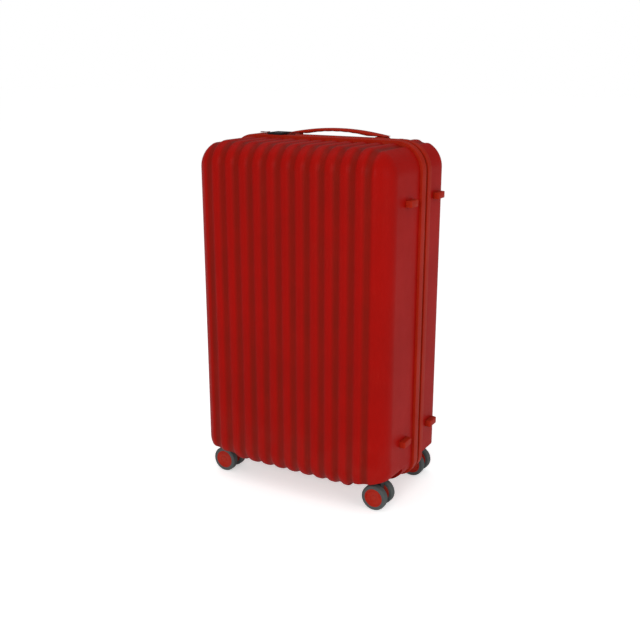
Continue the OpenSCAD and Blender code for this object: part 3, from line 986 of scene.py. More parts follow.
@dataclass
class Assembly:
    """A group of pieces built round the frame."""

    frame: dict
    finishes: Wardrobe

    def keep(self, piece: Obj, body: str, finish: str, slot: str, replaces: Sequence[str] = (),
             angle: float = 35.0) -> Obj:
        """Finishes a piece: its shading, material, body and the nodes it stands for.

        Args:
            piece: The modelled piece.
            body: The body it rides on.
            finish: Its material's name.
            slot: The record's material slot; not used.
            replaces: The frame's nodes that it stands for.
            angle: Edges sharper than this, in degrees, stay sharp.

        Returns:
            The piece.
        """
        smooth(piece, angle)
        dress(piece, self.finishes[finish])
        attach(piece, body)
        if replaces:
            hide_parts(*replaces)
        LOG.info("%s rides on %s (%d faces)", piece.name, body, len(piece.data.polygons))
        return piece

    def copied(self, node: str, name: str, width: float, segments: int = 3, angle: float = 35.0) -> Obj:
        """Copies a frame node, merges its loose triangles into faces and rounds its edges.

        Args:
            node: The node to copy.
            name: The copy's name.
            width: Width of the rounding.
            segments: Steps in the rounding.
            angle: Edges sharper than this, in degrees, are rounded.

        Returns:
            The copy.
        """
        mesh = self.frame["nodes"][node].data.copy()
        obj = bpy.data.objects.new(name, mesh)
        bpy.context.collection.objects.link(obj)
        own(obj, name)
        mesh.materials.clear()
        with editing(obj):
            bpy.ops.mesh.select_all(action="SELECT")
            bpy.ops.mesh.remove_doubles(threshold=2e-6)
            bpy.ops.mesh.dissolve_limited(angle_limit=math.radians(0.6))
        activate(obj)
        if mesh.has_custom_normals:
            bpy.ops.mesh.customdata_custom_splitnormals_clear()
        soften(obj, width, segments, angle)
        return obj

    def refine(self, node: str, name: str, width: float, segments: int, body: str, finish: str,
               slot: str) -> None:
        """Copies a frame node with its edges rounded, and keeps the copy in the node's stead.

        Args:
            node: The node.
            name: The copy's name.
            width: Width of the rounding.
            segments: Steps in the rounding.
            body: The body it rides on.
            finish: Its material's name.
            slot: The record's material slot.
        """
        self.keep(self.copied(node, name, width, segments), body, finish, slot, [node])


@dataclass(frozen=True)
class CasePath:
    """The case's outline seen from the front: a path to sweep profiles round and to set copies along."""

    half_w: float
    low: float
    high: float
    low_r: float = 30 * MM
    high_r: float = 50 * MM

    def corners(self) -> list[tuple[float, float, float, float]]:
        """The round corners, anticlockwise from the bottom.

        Returns:
            Centre X and Z, radius, and the turn at its start, for each.
        """
        lx, hx = self.half_w - self.low_r, self.half_w - self.high_r
        lz, hz = self.low + self.low_r, self.high - self.high_r
        return [(lx, lz, self.low_r, 0.0), (hx, hz, self.high_r, math.pi / 2),
                (-hx, hz, self.high_r, math.pi), (-lx, lz, self.low_r, 1.5 * math.pi)]

    def runs(self) -> list[Vector]:
        """The straight runs between the corners.

        Returns:
            The run after each corner, the last one back to the start.
        """
        lx, hx = self.half_w - self.low_r, self.half_w - self.high_r
        up = self.high - self.high_r - self.low - self.low_r
        return [Vector((0, 0, up)), Vector((-2 * hx, 0, 0)), Vector((0, 0, -up)), Vector((lx, 0, 0))]

    def sweep(self, name: str, profile: Outline, steps: int = 20) -> Obj:
        """Sweeps a closed profile round the case.

        Args:
            name: The new object's name.
            profile: Points of (distance out from the outline, y).
            steps: Steps round each corner.

        Returns:
            The closed ring.
        """
        count = len(profile)
        obj = from_points(name, [(0, y, self.low - out) for out, y in profile],
                          [(i, (i + 1) % count) for i in range(count)])
        with editing(obj):
            bpy.ops.mesh.select_all(action="SELECT")
            self.extrude(Vector((self.half_w - self.low_r, 0, 0)))
            for (x, z, _, _), run in zip(self.corners(), self.runs()):
                bpy.ops.mesh.spin(steps=steps, angle=math.pi / 2, center=(x, 0, z), axis=(0, 1, 0))
                self.extrude(run)
        tidy_normals(obj, 1e-5)
        return obj

    @staticmethod
    def extrude(run: Vector) -> None:
        """Extrudes what is selected along a run."""
        bpy.ops.mesh.extrude_region_move(TRANSFORM_OT_translate={"value": run})

    def stations(self, out: float, pitch: float, shift: float = 0.0) -> list[Matrix]:
        """Places along the path, with X along it and Z out of the case.

        Args:
            out: Distance out from the outline.
            pitch: Distance from one place to the next.
            shift: Distance of the first place from the path's start.

        Returns:
            A matrix for each place.
        """
        legs: list[tuple[float, Callable[[float], tuple[Vector, float]]]] = []
        start = Vector((0, 0, self.low - out))
        turn = 0.0
        straight = [Vector((self.half_w - self.low_r, 0, 0))] + self.runs()
        for index, run in enumerate(straight):
            legs.append((run.length, lambda d, s=start.copy(), r=run, t=turn: (s + r.normalized() * d, t)))
            if index == len(straight) - 1:
                break
            x, z, radius, begin = self.corners()[index]
            reach = radius + out

            def round_corner(d: float, x: float = x, z: float = z, reach: float = reach,
                             begin: float = begin) -> tuple[Vector, float]:
                """The place and turn at a distance into the corner."""
                a = begin + d / reach
                return Vector((x + reach * math.sin(a), 0, z - reach * math.cos(a))), a

            legs.append((reach * math.pi / 2, round_corner))
            start, turn = round_corner(reach * math.pi / 2)
        total = sum(length for length, _ in legs)
        number = round(total / pitch)
        places = []
        for i in range(number):
            d = (i * total / number + shift) % total
            for length, at in legs:
                if d <= length:
                    break
                d -= length
            spot, turn = at(d)
            along = Vector((math.cos(turn), 0, math.sin(turn)))
            outward = Vector((math.sin(turn), 0, -math.cos(turn)))
            basis = Matrix((along, outward.cross(along), outward)).transposed().to_4x4()
            basis.translation = spot
            places.append(basis)
        return places


def case_path() -> CasePath:
    """The case's outline, from the rear shell's corners."""
    low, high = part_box("rear_shell")
    return CasePath(high.x, low.z, high.z)


def round_profile(low: float, high: float, y0: float, y1: float, r: float, steps: int = 5) -> Outline:
    """A band's profile, with its two outer corners round.

    Args:
        low: Distance out of its inside.
        high: Distance out of its outside.
        y0: Where it starts.
        y1: Where it ends.
        r: Radius of the outer corners.
        steps: Steps in each corner.

    Returns:
        Points of (distance out, y).
    """
    points = [(low, y1), (low, y0)]
    for centre, begin in ((y0 + r, math.pi), (y1 - r, math.pi / 2)):
        for i in range(steps + 1):
            a = begin - i * math.pi / 2 / steps
            points.append((high - r + r * math.sin(a), centre + r * math.cos(a)))
    return points


# ---- shells -----------------------------------------------------------------


class Side(Enum):
    """Which half of the case, with the name of its body."""

    FRONT = "front_half"
    REAR = "rear_half"

    @property
    def word(self) -> str:
        """How its nodes' names start."""
        return self.value.split("_")[0]


@dataclass(frozen=True)
class Well:
    """A caster's recess, with X from the middle of the case.

    Attributes:
        inner: X where it starts.
        knee: X where its roof reaches full height.
        reach: X where it ends, beyond the side.
        shoulder: Height at which its inner wall starts to lean.
        slope: How much its roof rises towards the side.
        inside: How far it reaches in from the swivel's axis.
        past: How far it reaches out beyond the face.
        gap: Room between its roof and the mount.
        rounding: Width of the rounding on its edges.
    """

    inner: float = 120.9 * MM
    knee: float = 137 * MM
    reach: float = 243 * MM
    shoulder: float = 46 * MM
    slope: float = 17 * MM
    inside: float = 43.1 * MM
    past: float = 40 * MM
    gap: float = 0.2 * MM
    rounding: float = 5 * MM


@dataclass
class RibbedShell(Assembly):
    """One half's moulded shell: ribs over the face, top and bottom, and recesses for the casters."""

    PART: ClassVar[str] = "shell"

    side: Side = Side.FRONT
    edge_r: float = 44 * MM
    path: CasePath = field(default_factory=case_path)
    wall: float = 2.6 * MM
    rib_pitch: float = 30 * MM
    rib_depth: float = 3.4 * MM
    outer_rib: float = 180 * MM
    inset: float = 60 * MM
    seats: Sequence[tuple[float, float, float]] = ()
    cells: Sequence[Sequence[int]] = ((9, 18), (5, 6), (8, 10))
    crest: tuple[float, float] = (3.0 * MM, 12.5 * MM)
    side_fade: tuple[float, float] = (0.55, 0.85)
    seat_deep: float = 40 * MM
    seat_fade: float = 7 * MM
    well: Well = Well()
    face_share: float = 0.7
    end_share: float = 0.3
    close: float = 1e-5
    halvings: int = 34

    def __post_init__(self) -> None:
        """Reads the shell's corners from the frame."""
        front = self.side is Side.FRONT
        self.name = f"{self.side.word}_{self.PART}"
        self.low, self.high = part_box(self.name)
        self.face = self.low.y if front else self.high.y
        self.seam = self.high.y if front else self.low.y
        self.way = 1.0 if front else -1.0

    def depth(self, points: np.ndarray) -> np.ndarray:
        """Signed distance from the plain outside, negative within.

        Args:
            points: Rows of X, Y and Z.

        Returns:
            A distance for each row.
        """
        x, y, z = points.T
        mid = (self.low.z + self.high.z) / 2
        deep = ease(0.0, abs(self.seam - self.face) - self.edge_r, (self.seam - y) * self.way)
        low_r = self.path.low_r + max(0.0, self.edge_r - self.path.low_r) * deep
        r = np.where(z > mid, self.path.high_r, low_r)
        qx = np.abs(x) - self.path.half_w + r
        qz = np.abs(z - mid) - (self.high.z - self.low.z) / 2 + r
        outline = np.hypot(np.maximum(qx, 0), np.maximum(qz, 0)) + np.minimum(np.maximum(qx, qz), 0) - r
        a = outline + self.edge_r
        b = (self.face - y) * self.way + self.edge_r
        return np.hypot(np.maximum(a, 0), np.maximum(b, 0)) + np.minimum(np.maximum(a, b), 0) - self.edge_r

    def normals(self, points: np.ndarray) -> np.ndarray:
        """The plain outside's directions at some points.

        Args:
            points: Rows of X, Y and Z.

        Returns:
            A direction of length 1 for each row.
        """
        step, tiny = 0.05 * MM, 1e-12
        slopes = [self.depth(points + step * axis) - self.depth(points - step * axis) for axis in np.eye(3)]
        found = np.stack(slopes, axis=1)
        return found / np.maximum(np.linalg.norm(found, axis=1, keepdims=True), tiny)

    def ribs(self, points: np.ndarray, normals: np.ndarray) -> np.ndarray:
        """How far the valleys between the ribs lie below the crests at some points.

        Args:
            points: Rows of X, Y and Z on the plain outside.
            normals: The outside's direction at each.

        Returns:
            A depth for each row.
        """
        x, y, z = points.T
        from_crest = np.abs((x + self.rib_pitch / 2) % self.rib_pitch - self.rib_pitch / 2)
        valley = ease(*self.crest, from_crest) * (np.abs(x) < self.outer_rib)
        share = 1 - ease(*self.side_fade, np.abs(normals[:, 0]))
        for seat_x, seat_y, reach in self.seats:
            away = np.maximum(np.abs(np.abs(x) - seat_x), np.abs(y - seat_y))
            ribbed = ease(reach, reach + self.seat_fade, away)
            share *= np.where(z > self.high.z - self.seat_deep, ribbed, 1.0)
        return self.rib_depth * valley * share

    def block(self) -> Obj:
        """Adds the closed block that the shell is shaped from, with its cells closest at the round edges.

        Returns:
            The block.
        """
        obj = grid_block(f"{self.name}_skin", self.low, self.high, self.cells)
        points = read_points(obj)
        deep, tall = self.high.y - self.low.y, self.high.z - self.low.z
        stops, moved = (0, self.face_share, 1), (0, self.inset / deep, 1)
        back = (points[:, 1] - self.low.y) / deep
        if self.side is Side.REAR:
            back = 1 - np.interp(1 - back, stops, moved)
        else:
            back = np.interp(back, stops, moved)
        end, near = self.end_share, self.inset / tall
        up = np.interp((points[:, 2] - self.low.z) / tall, (0, end, 1 - end, 1), (0, near, 1 - near, 1))
        points[:, 1] = self.low.y + back * deep
        points[:, 2] = self.low.z + up * tall
        write_points(obj, points)
        return obj

    def shape(self, obj: Obj) -> None:
        """Rounds the block and sinks the valleys between the ribs.

        Args:
            obj: The block, with its seam face open.
        """
        points = read_points(obj)
        y_low, y_high = sorted((self.face + self.way * self.inset, self.seam))
        core_low = np.array([-self.path.half_w + self.inset, y_low, self.low.z + self.inset])
        core_high = np.array([self.path.half_w - self.inset, y_high, self.high.z - self.inset])
        core = np.clip(points, core_low, core_high)
        near, far = np.zeros(len(points)), np.ones(len(points))
        for _ in range(self.halvings):
            middle = (near + far) / 2
            outside = self.depth(core + (points - core) * middle[:, None]) > 0
            far = np.where(outside, middle, far)
            near = np.where(outside, near, middle)
        points = core + (points - core) * far[:, None]
        normals = self.normals(points)
        write_points(obj, points - normals * self.ribs(points, normals)[:, None])

    def wells(self) -> list[Obj]:
        """Models the cutters for the two recesses, with round edges.

        Returns:
            The cutters.
        """
        well = self.well
        mount_low, mount_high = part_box(f"{self.side.word}_caster_mounts")
        roof = mount_low.z + well.gap
        swivel_y = (mount_low.y + mount_high.y) / 2
        ends = sorted((swivel_y + self.way * well.inside, self.face - self.way * well.past))
        outline = [(well.inner, 0.0), (well.inner, well.shoulder), (well.knee, roof),
                   (well.reach, roof + well.slope), (well.reach, 0.0)]
        cutters = []
        for sign in (1, -1):
            cutter = prism(f"{self.name}_well", [(sign * x, z) for x, z in outline], *ends)
            soften(cutter, well.rounding, 4, 8.0)
            cutters.append(cutter)
        return cutters

    def open_up(self, obj: Obj, low: Point, high: Point) -> None:
        """Cuts a hole through the skin where a box crosses it.

        Args:
            obj: The closed shell.
            low: The box's lowest corner.
            high: The box's highest corner.
        """
        cut(obj, [block("opening", low, high)])
        points = read_points(obj)
        slack = 0.02 * MM
        inside = np.all((points > np.array(low) - slack) & (points < np.array(high) + slack), axis=1)
        drop = [p.index for p in obj.data.polygons if all(inside[v] for v in p.vertices)]
        pick(obj, Kind.FACES, lambda *_: False)
        for index in drop:
            obj.data.polygons[index].select = True
        with editing(obj, Kind.FACES):
            bpy.ops.mesh.delete(type="FACE")

    def build(self, openings: Sequence[tuple[Point, Point]] = ()) -> Obj:
        """Models the shell.

        Args:
            openings: Boxes where the skin is cut through.

        Returns:
            The finished shell.
        """
        obj = self.skin()
        on_seam = np.abs(read_points(obj)[:, 1] - self.seam) < self.close
        self.only(obj, on_seam)
        with editing(obj):
            bpy.ops.mesh.edge_face_add()
        tidy_normals(obj, 1e-7)
        cut(obj, self.wells())
        pick(obj, Kind.FACES, lambda place, way: abs(place.y - self.seam) < self.close and abs(way.y) > 0.9)
        with editing(obj, Kind.FACES):
            bpy.ops.mesh.delete(type="FACE")
        for low, high in openings:
            self.open_up(obj, low, high)
        add_modifier(obj, "SOLIDIFY", thickness=self.wall, offset=-1.0, use_even_offset=True,
                     thickness_clamp=1.0, use_rim=True)
        return self.keep(obj, self.side.value, "shell_red", "shell", [self.name], 40.0)

    def skin(self) -> Obj:
        """Models the outside, open at the seam.

        Returns:
            The outside, without a wall's thickness.
        """
        obj = self.block()
        points = read_points(obj)
        edge = 1e-6
        loose = ((np.abs(points[:, 1] - self.seam) < edge) & (np.abs(points[:, 0]) < self.path.half_w - edge)
                 & (points[:, 2] > self.low.z + edge) & (points[:, 2] < self.high.z - edge))
        self.only(obj, loose)
        with editing(obj):
            bpy.ops.mesh.delete(type="VERT")
        self.shape(obj)
        return obj

    @staticmethod
    def only(obj: Obj, chosen: np.ndarray) -> None:
        """Selects just the chosen vertices for the next edit."""
        pick(obj, Kind.VERTS, lambda *_: False)
        obj.data.vertices.foreach_set("select", chosen)


# ---- rims, zip and lock ------------------------------------------------------


@dataclass
class Rims(Assembly):
    """The two bands that stand proud on both sides of the zip."""

    path: CasePath = field(default_factory=case_path)
    sunk: float = 3.4 * MM
    edge: float = 1.1 * MM
    lock_lap: float = 0.9 * MM
    lock_room: float = 0.1 * MM
    past: float = 5 * MM

    def build(self) -> None:
        """Models both rims, the rear one cut away for the lock."""
        for side in Side:
            node = f"{side.word}_rim"
            low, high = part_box(node)
            proud = high.x - self.path.half_w
            band = round_profile(-self.sunk, proud, low.y, high.y, self.edge)
            ring = self.path.sweep(f"{node}_band", band, 24)
            if side is Side.REAR:
                lock_low, lock_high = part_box("lock_body")
                start = (lock_low.x + self.lock_lap, low.y - self.past, lock_low.z - self.lock_room)
                end = (lock_high.x - self.lock_lap, lock_high.y + self.lock_room, high.z + 2 * self.past)
                cut(ring, [block("lock_gap", start, end)])
            self.keep(ring, side.value, "rim_orange", "rim", [node], 30.0)


@dataclass
class Zip(Assembly):
    """The zip: a woven tape and a row of teeth on each half, two sliders and their pulls."""

    path: CasePath = field(default_factory=case_path)
    pitch: float = 3.0 * MM
    tooth: tuple[float, float, float] = (1.3 * MM, 1.9 * MM, 1.3 * MM)
    tooth_lap: float = 0.4 * MM
    tooth_sunk: float = 0.25 * MM
    root: float = 4 * MM
    web: float = 0.4 * MM
    bead: tuple[float, float] = (1.6 * MM, 1.2 * MM)
    bead_lap: float = 0.35 * MM
    bead_low: float = 0.3 * MM

    def build(self) -> None:
        """Models the tapes, teeth, sliders and pulls."""
        middle = (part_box("front_zip")[1].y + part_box("rear_zip")[0].y) / 2
        for side, sign in ((Side.FRONT, -1.0), (Side.REAR, 1.0)):
            node = f"{side.word}_zip"
            low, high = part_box(node)
            proud = high.x - self.path.half_w
            inner, outer = (high.y, low.y) if side is Side.FRONT else (low.y, high.y)
            top = proud - self.bead_low
            foot, crown = (inner + sign * size for size in self.bead)
            profile = [(-self.root, outer), (self.web, outer), (self.web, foot), (top, crown),
                       (top, inner + sign * self.bead_lap), (self.web / 2, inner), (-self.root, inner)]
            tape = self.path.sweep(f"{node}_tape", profile, 16)
            self.keep(tape, side.value, "zip_tape", "zip_tape", [node], 40.0)
            self.teeth(f"{node}_teeth", side, middle, sign, proud - self.bead_lap)
        for letter in "ab":
            self.refine(f"zip_slider_{letter}", f"slider_{letter}_body", 0.5 * MM, 3, f"slider_{letter}",
                        "zip_paint", "zip_metal")
            self.refine(f"zip_pull_{letter}", f"pull_{letter}_tab", 0.35 * MM, 3, f"pull_{letter}",
                        "zip_paint", "zip_metal")

    def teeth(self, name: str, side: Side, middle: float, sign: float, out: float) -> None:
        """Sets one half's teeth round the case.

        Args:
            name: The piece's name.
            side: The half they ride on.
            middle: Y where the two rows meet.
            sign: Which way the half lies from the middle.
            out: How far out of the outline they sit.
        """
        along, deep, up = self.tooth
        low_y, high_y = sorted((-sign * deep, sign * self.tooth_lap))
        model = block(f"{name}_model", (-along / 2, low_y, 0.0), (along / 2, high_y, up))
        soften(model, 0.3 * MM, 1, 30.0)
        model.data.transform(Matrix.Translation((0, -middle, -self.tooth_sunk)))
        shift = self.pitch / 2 if side is Side.REAR else 0.0
        row = copies(name, model, self.path.stations(out - up / 2, self.pitch, shift))
        self.keep(row, side.value, "zip_teeth", "zip_tape", [], 40.0)


@dataclass
class Lock(Assembly):
    """The combination lock on the rims: body, release button, key barrel and three plain dials."""

    PARTS: ClassVar[tuple] = (
        ("lock_body", "lock_case", 0.6 * MM, 4, Side.REAR.value, "lock_black", "lock"),
        ("lock_button", "lock_release", 0.35 * MM, 3, "lock_slide", "lock_black", "lock"),
        ("key_barrel", "key_plug", 0.15 * MM, 2, "lock_key", "dark_steel", "metal"),
    )

    def build(self) -> None:
        """Models the lock's pieces."""
        for part in self.PARTS:
            self.refine(*part)
        for number in (1, 2, 3):
            self.refine(f"dial_{number}", f"number_wheel_{number}", 0.18 * MM, 2, f"lock_dial_{number}",
                        "dark_steel", "metal")


# ---- handles and feet ---------------------------------------------------------


@dataclass
class CarryHandle(Assembly):
    """A bowed carry handle with its legs and end blocks, modelled lying on the plane z = 0 along X."""

    name: str = "top_handle"
    body: str = "carry_top"
    rise: float = 17 * MM
    thick: float = 6.2 * MM
    length: float = 214 * MM
    width: float = 22 * MM
    leg_x: float = 96 * MM
    gap_x: float = 66 * MM
    block_high: float = 5 * MM
    place: Matrix = field(default_factory=Matrix)
    end_thick: float = 3 * MM
    groove: tuple[float, float] = (0.45 * MM, 9 * MM)
    groove_fade: tuple[float, float] = (50 * MM, 62 * MM)
    squareness: int = 5
    stem: tuple[float, float] = (5.6 * MM, 4.1 * MM)
    flange: tuple[float, float, float] = (7.6 * MM, 6.1 * MM, 2.4 * MM)
    stem_lap: float = 0.9 * MM

    def strap(self) -> Obj:
        """Models the bowed strap, full in the middle and thin at its edges, with finger grooves below.

        Returns:
            The strap.
        """
        half = self.length / 2
        obj = grid_block(f"{self.name}_strap", (-half, -1, 0), (half, 1, 1), ((8, 9), (14,), (6,)))
        points = read_points(obj)
        x = points[:, 0]
        u = np.sin(points[:, 1] * math.pi / 2)
        v = 0.5 - 0.5 * np.cos(points[:, 2] * math.pi)
        out_rise = self.rise - self.block_high - self.end_thick
        out_r = (self.leg_x ** 2 + out_rise ** 2) / (2 * out_rise)
        in_rise = self.rise - self.thick - self.block_high
        in_r = (self.gap_x ** 2 + in_rise ** 2) / (2 * in_rise)
        top = self.rise - out_r + np.sqrt(out_r ** 2 - x ** 2)
        under = np.maximum(self.block_high, self.rise - self.thick - in_r + np.sqrt(in_r ** 2 - x ** 2))
        deep, spacing = self.groove
        waves = 0.5 - 0.5 * np.cos(x / spacing * math.pi)
        under = under + deep * waves * (1 - ease(*self.groove_fade, np.abs(x)))
        edge = 0.5 * (1 - np.sqrt(np.maximum(0.0, 1 - np.abs(u) ** self.squareness)))
        points[:, 2] = under + (top - under) * (edge + (1 - 2 * edge) * v)
        points[:, 1] = u * self.width / 2
        write_points(obj, points)
        tidy_normals(obj)
        return obj

    def leg(self, sign: int) -> list[Obj]:
        """Models one leg with its stop flange.

        Args:
            sign: Which end.

        Returns:
            The leg and the flange.
        """
        low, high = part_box(self.name)
        reach = (high.z - low.z) if self.name == "top_handle" else (high.x - low.x)
        foot = self.rise - reach
        x = sign * self.leg_x
        half_x, half_y = self.stem
        wide_x, wide_y, thick = self.flange
        top = self.block_high + self.stem_lap
        stem = block("leg", (x - half_x, -half_y, foot), (x + half_x, half_y, top))
        flange = block("flange", (x - wide_x, -wide_y, foot), (x + wide_x, wide_y, foot + thick))
        for piece in (stem, flange):
            soften(piece, 0.5 * MM, 2)
        return [stem, flange]

    def build(self) -> None:
        """Models the handle and its end blocks."""
        handle = join(f"{self.name}_grip", [self.strap(), *self.leg(1), *self.leg(-1)])
        handle.matrix_world = self.place
        apply_place(handle)
        self.keep(handle, self.body, "handle_orange", "handle", [self.name], 40.0)
        self.refine(f"{self.name}_blocks", f"{self.name}_ends", 1.0 * MM, 4, Side.REAR.value,
                    "rim_orange", "accent")


@dataclass
class SideFeet(Assembly):
    """The four feet that the case stands on when it is laid on its side."""

    def build(self) -> None:
        """Models the two pairs."""
        for side in Side:
            node = f"{side.word}_feet"
            self.refine(node, f"{node}_pads", 0.8 * MM, 3, side.value, "rim_orange", "accent")


@dataclass
class Mast(Assembly):
    """The telescopic handle: cup, tubes, grip, release button, foot bracket and screws."""

    PARTS: ClassVar[tuple] = (
        ("mast_cup", "mast_tray", 1.0 * MM, 3, Side.REAR.value, "dark_plastic", "dark_plastic"),
        ("mast_outer_tubes", "mast_sleeves", 0.5 * MM, 2, Side.REAR.value, "mast_aluminium", "mast"),
        ("mast_middle_tubes", "mast_lower_stage", 0.5 * MM, 3, "mast_middle", "mast_aluminium", "mast"),
        ("mast_inner_tubes", "mast_upper_stage", 0.5 * MM, 3, "mast_inner", "mast_aluminium", "mast"),
        ("mast_grip", "mast_hand_grip", 1.0 * MM, 4, "mast_inner", "dark_plastic", "dark_plastic"),
        ("mast_button", "mast_release_key", 0.8 * MM, 4, "mast_release", "lock_black", "dark_plastic"),
        ("mast_bracket", "mast_foot", 1.0 * MM, 3, Side.REAR.value, "dark_plastic", "dark_plastic"),
        ("bracket_screws", "mast_foot_screws", 0.4 * MM, 3, Side.REAR.value, "steel", "metal"),
    )

    def build(self) -> None:
        """Models its pieces."""
        for part in self.PARTS:
            self.refine(*part)


# ---- casters --------------------------------------------------------------------


@dataclass
class Caster(Assembly):
    """One swivel caster with its pair of wheels."""

    corner: str = "front_right"
    steps: int = 72

    def wheel(self, letter: str) -> None:
        """Models one wheel: its hub and its tyre.

        Args:
            letter: Which wheel of the pair, a or b.
        """
        hub_low, hub_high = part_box(f"{self.corner}_hub_{letter}")
        tyre_low, tyre_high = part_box(f"{self.corner}_tyre_{letter}")
        axle_low, axle_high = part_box(f"{self.corner}_axle")
        pair_y = (axle_low.y + axle_high.y) / 2
        sign = 1.0 if tyre_low.y > pair_y else -1.0
        centre = Vector(((tyre_low.x + tyre_high.x) / 2, pair_y, (tyre_low.z + tyre_high.z) / 2))
        axis = Vector((0, sign, 0))
        outer = max(abs(tyre_low.y - pair_y), abs(tyre_high.y - pair_y))
        inner = min(abs(tyre_low.y - pair_y), abs(tyre_high.y - pair_y))
        boss = min(abs(hub_low.y - pair_y), abs(hub_high.y - pair_y))
        rim = (hub_high.z - hub_low.z) / 2
        reach = (tyre_high.z - tyre_low.z) / 2
        body = f"{self.corner}_wheel_{letter}"
        disc = self.hub_profile(boss, inner, outer, rim)
        hub = turned(f"{self.corner}_wheel_disc_{letter}", disc, centre, axis, self.steps)
        self.keep(hub, body, "hub_orange", "hub", [f"{self.corner}_hub_{letter}"], 28.0)
        tread = self.tyre_profile(inner, outer, rim, reach)
        tyre = turned(f"{self.corner}_tread_{letter}", tread, centre, axis, self.steps)
        self.keep(tyre, body, "tyre_grey", "tyre", [f"{self.corner}_tyre_{letter}"], 28.0)

    @staticmethod
    def hub_profile(boss: float, inner: float, outer: float, rim: float) -> Outline:
        """The hub's outline: a disc flush with the tyre, a shallow ring, and a cap over the axle's end.

        Args:
            boss: Where its boss starts.
            inner: Its inner face.
            outer: Its outer face.
            rim: Its radius.

        Returns:
            Points of (radius, distance from the middle of the pair).
        """
        return [(0, outer), (5.2 * MM, outer), (5.8 * MM, outer - 0.3 * MM), (6.0 * MM, outer - 0.7 * MM),
                (6.5 * MM, outer - 0.7 * MM), (6.8 * MM, outer - 0.2 * MM), (7.2 * MM, outer),
                (13.6 * MM, outer), (13.9 * MM, outer - 0.15 * MM), (14.1 * MM, outer - 0.5 * MM),
                (14.7 * MM, outer - 0.5 * MM), (14.9 * MM, outer - 0.15 * MM), (15.2 * MM, outer),
                (rim - 0.4 * MM, outer), (rim - 0.1 * MM, outer - 0.15 * MM), (rim, outer - 0.5 * MM),
                (rim, inner + 0.5 * MM), (rim - 0.1 * MM, inner + 0.15 * MM), (rim - 0.4 * MM, inner),
                (6.4 * MM, inner), (6.0 * MM, inner - 0.4 * MM), (6.0 * MM, boss + 0.2 * MM),
                (5.8 * MM, boss), (3.1 * MM, boss), (3.1 * MM, outer - 2.4 * MM),
                (6.0 * MM, outer - 2.4 * MM), (6.0 * MM, outer - 0.75 * MM), (0, outer - 0.75 * MM)]

    @staticmethod
    def tyre_profile(inner: float, outer: float, rim: float, reach: float) -> Outline:
        """The tyre's outline: round shoulders and a tread with two fine moulded grooves.

        Args:
            inner: Its inner face.
            outer: Its outer face.
            rim: Its inside radius.
            reach: Its outside radius.

        Returns:
            Points of (radius, distance from the middle of the pair).
        """
        shoulder, steps = 2.8 * MM, 6
        groove_at, groove_deep, lip, floor = 1.6 * MM, 0.25 * MM, 0.35 * MM, 0.15 * MM
        turns = [math.pi / 2 * i / steps for i in range(steps + 1)]
        core = reach - shoulder
        middle = (inner + outer) / 2
        points = [(rim, inner + 0.3 * MM), (rim + 0.3 * MM, inner)]
        points += [(core + shoulder * math.sin(a), inner + shoulder - shoulder * math.cos(a)) for a in turns]
        for centre in (middle - groove_at, middle + groove_at):
            points += [(reach, centre - lip), (reach - groove_deep, centre - floor),
                       (reach - groove_deep, centre + floor), (reach, centre + lip)]
        points += [(core + shoulder * math.sin(a), outer - shoulder + shoulder * math.cos(a))
                   for a in reversed(turns)]
        return points + [(rim + 0.3 * MM, outer), (rim, outer - 0.3 * MM)]

    def build(self) -> None:
        """Models the caster's pieces."""
        name, body = self.corner, f"{self.corner}_caster"
        self.refine(f"{name}_fork", f"{name}_stem", 0.9 * MM, 4, body, "dark_plastic", "dark_plastic")
        self.refine(f"{name}_axle", f"{name}_spindle", 0.3 * MM, 2, body, "steel", "metal")
        for letter in "ab":
            self.wheel(letter)


@dataclass
class CasterMounts(Assembly):
    """The pads in the shells' recesses that the casters turn in."""

    def build(self) -> None:
        """Models the two pairs."""
        for side in Side:
            node = f"{side.word}_caster_mounts"
            self.refine(node, f"{node}_pads", 0.8 * MM, 3, side.value, "dark_plastic", "dark_plastic")


# ---- studio ------------------------------------------------------------------------


@dataclass(frozen=True)
class Lamp:
    """A soft square light, with its side in metres and its power in watts."""

    name: str
    place: tuple[float, float, float]
    size: float
    power: float
    tint: tuple[float, float, float]

    def add(self, target: Point) -> None:
        """Adds the lamp to the scene.

        Args:
            target: What it points at.
        """
        data = bpy.data.lights.new(self.name, "AREA")
        data.size = self.size
        data.energy = self.power
        data.color = self.tint
        lamp = bpy.data.objects.new(self.name, data)
        bpy.context.collection.objects.link(lamp)
        lamp.location = self.place
        lamp.rotation_euler = (Vector(target) - Vector(self.place)).to_track_quat("-Z", "Y").to_euler()


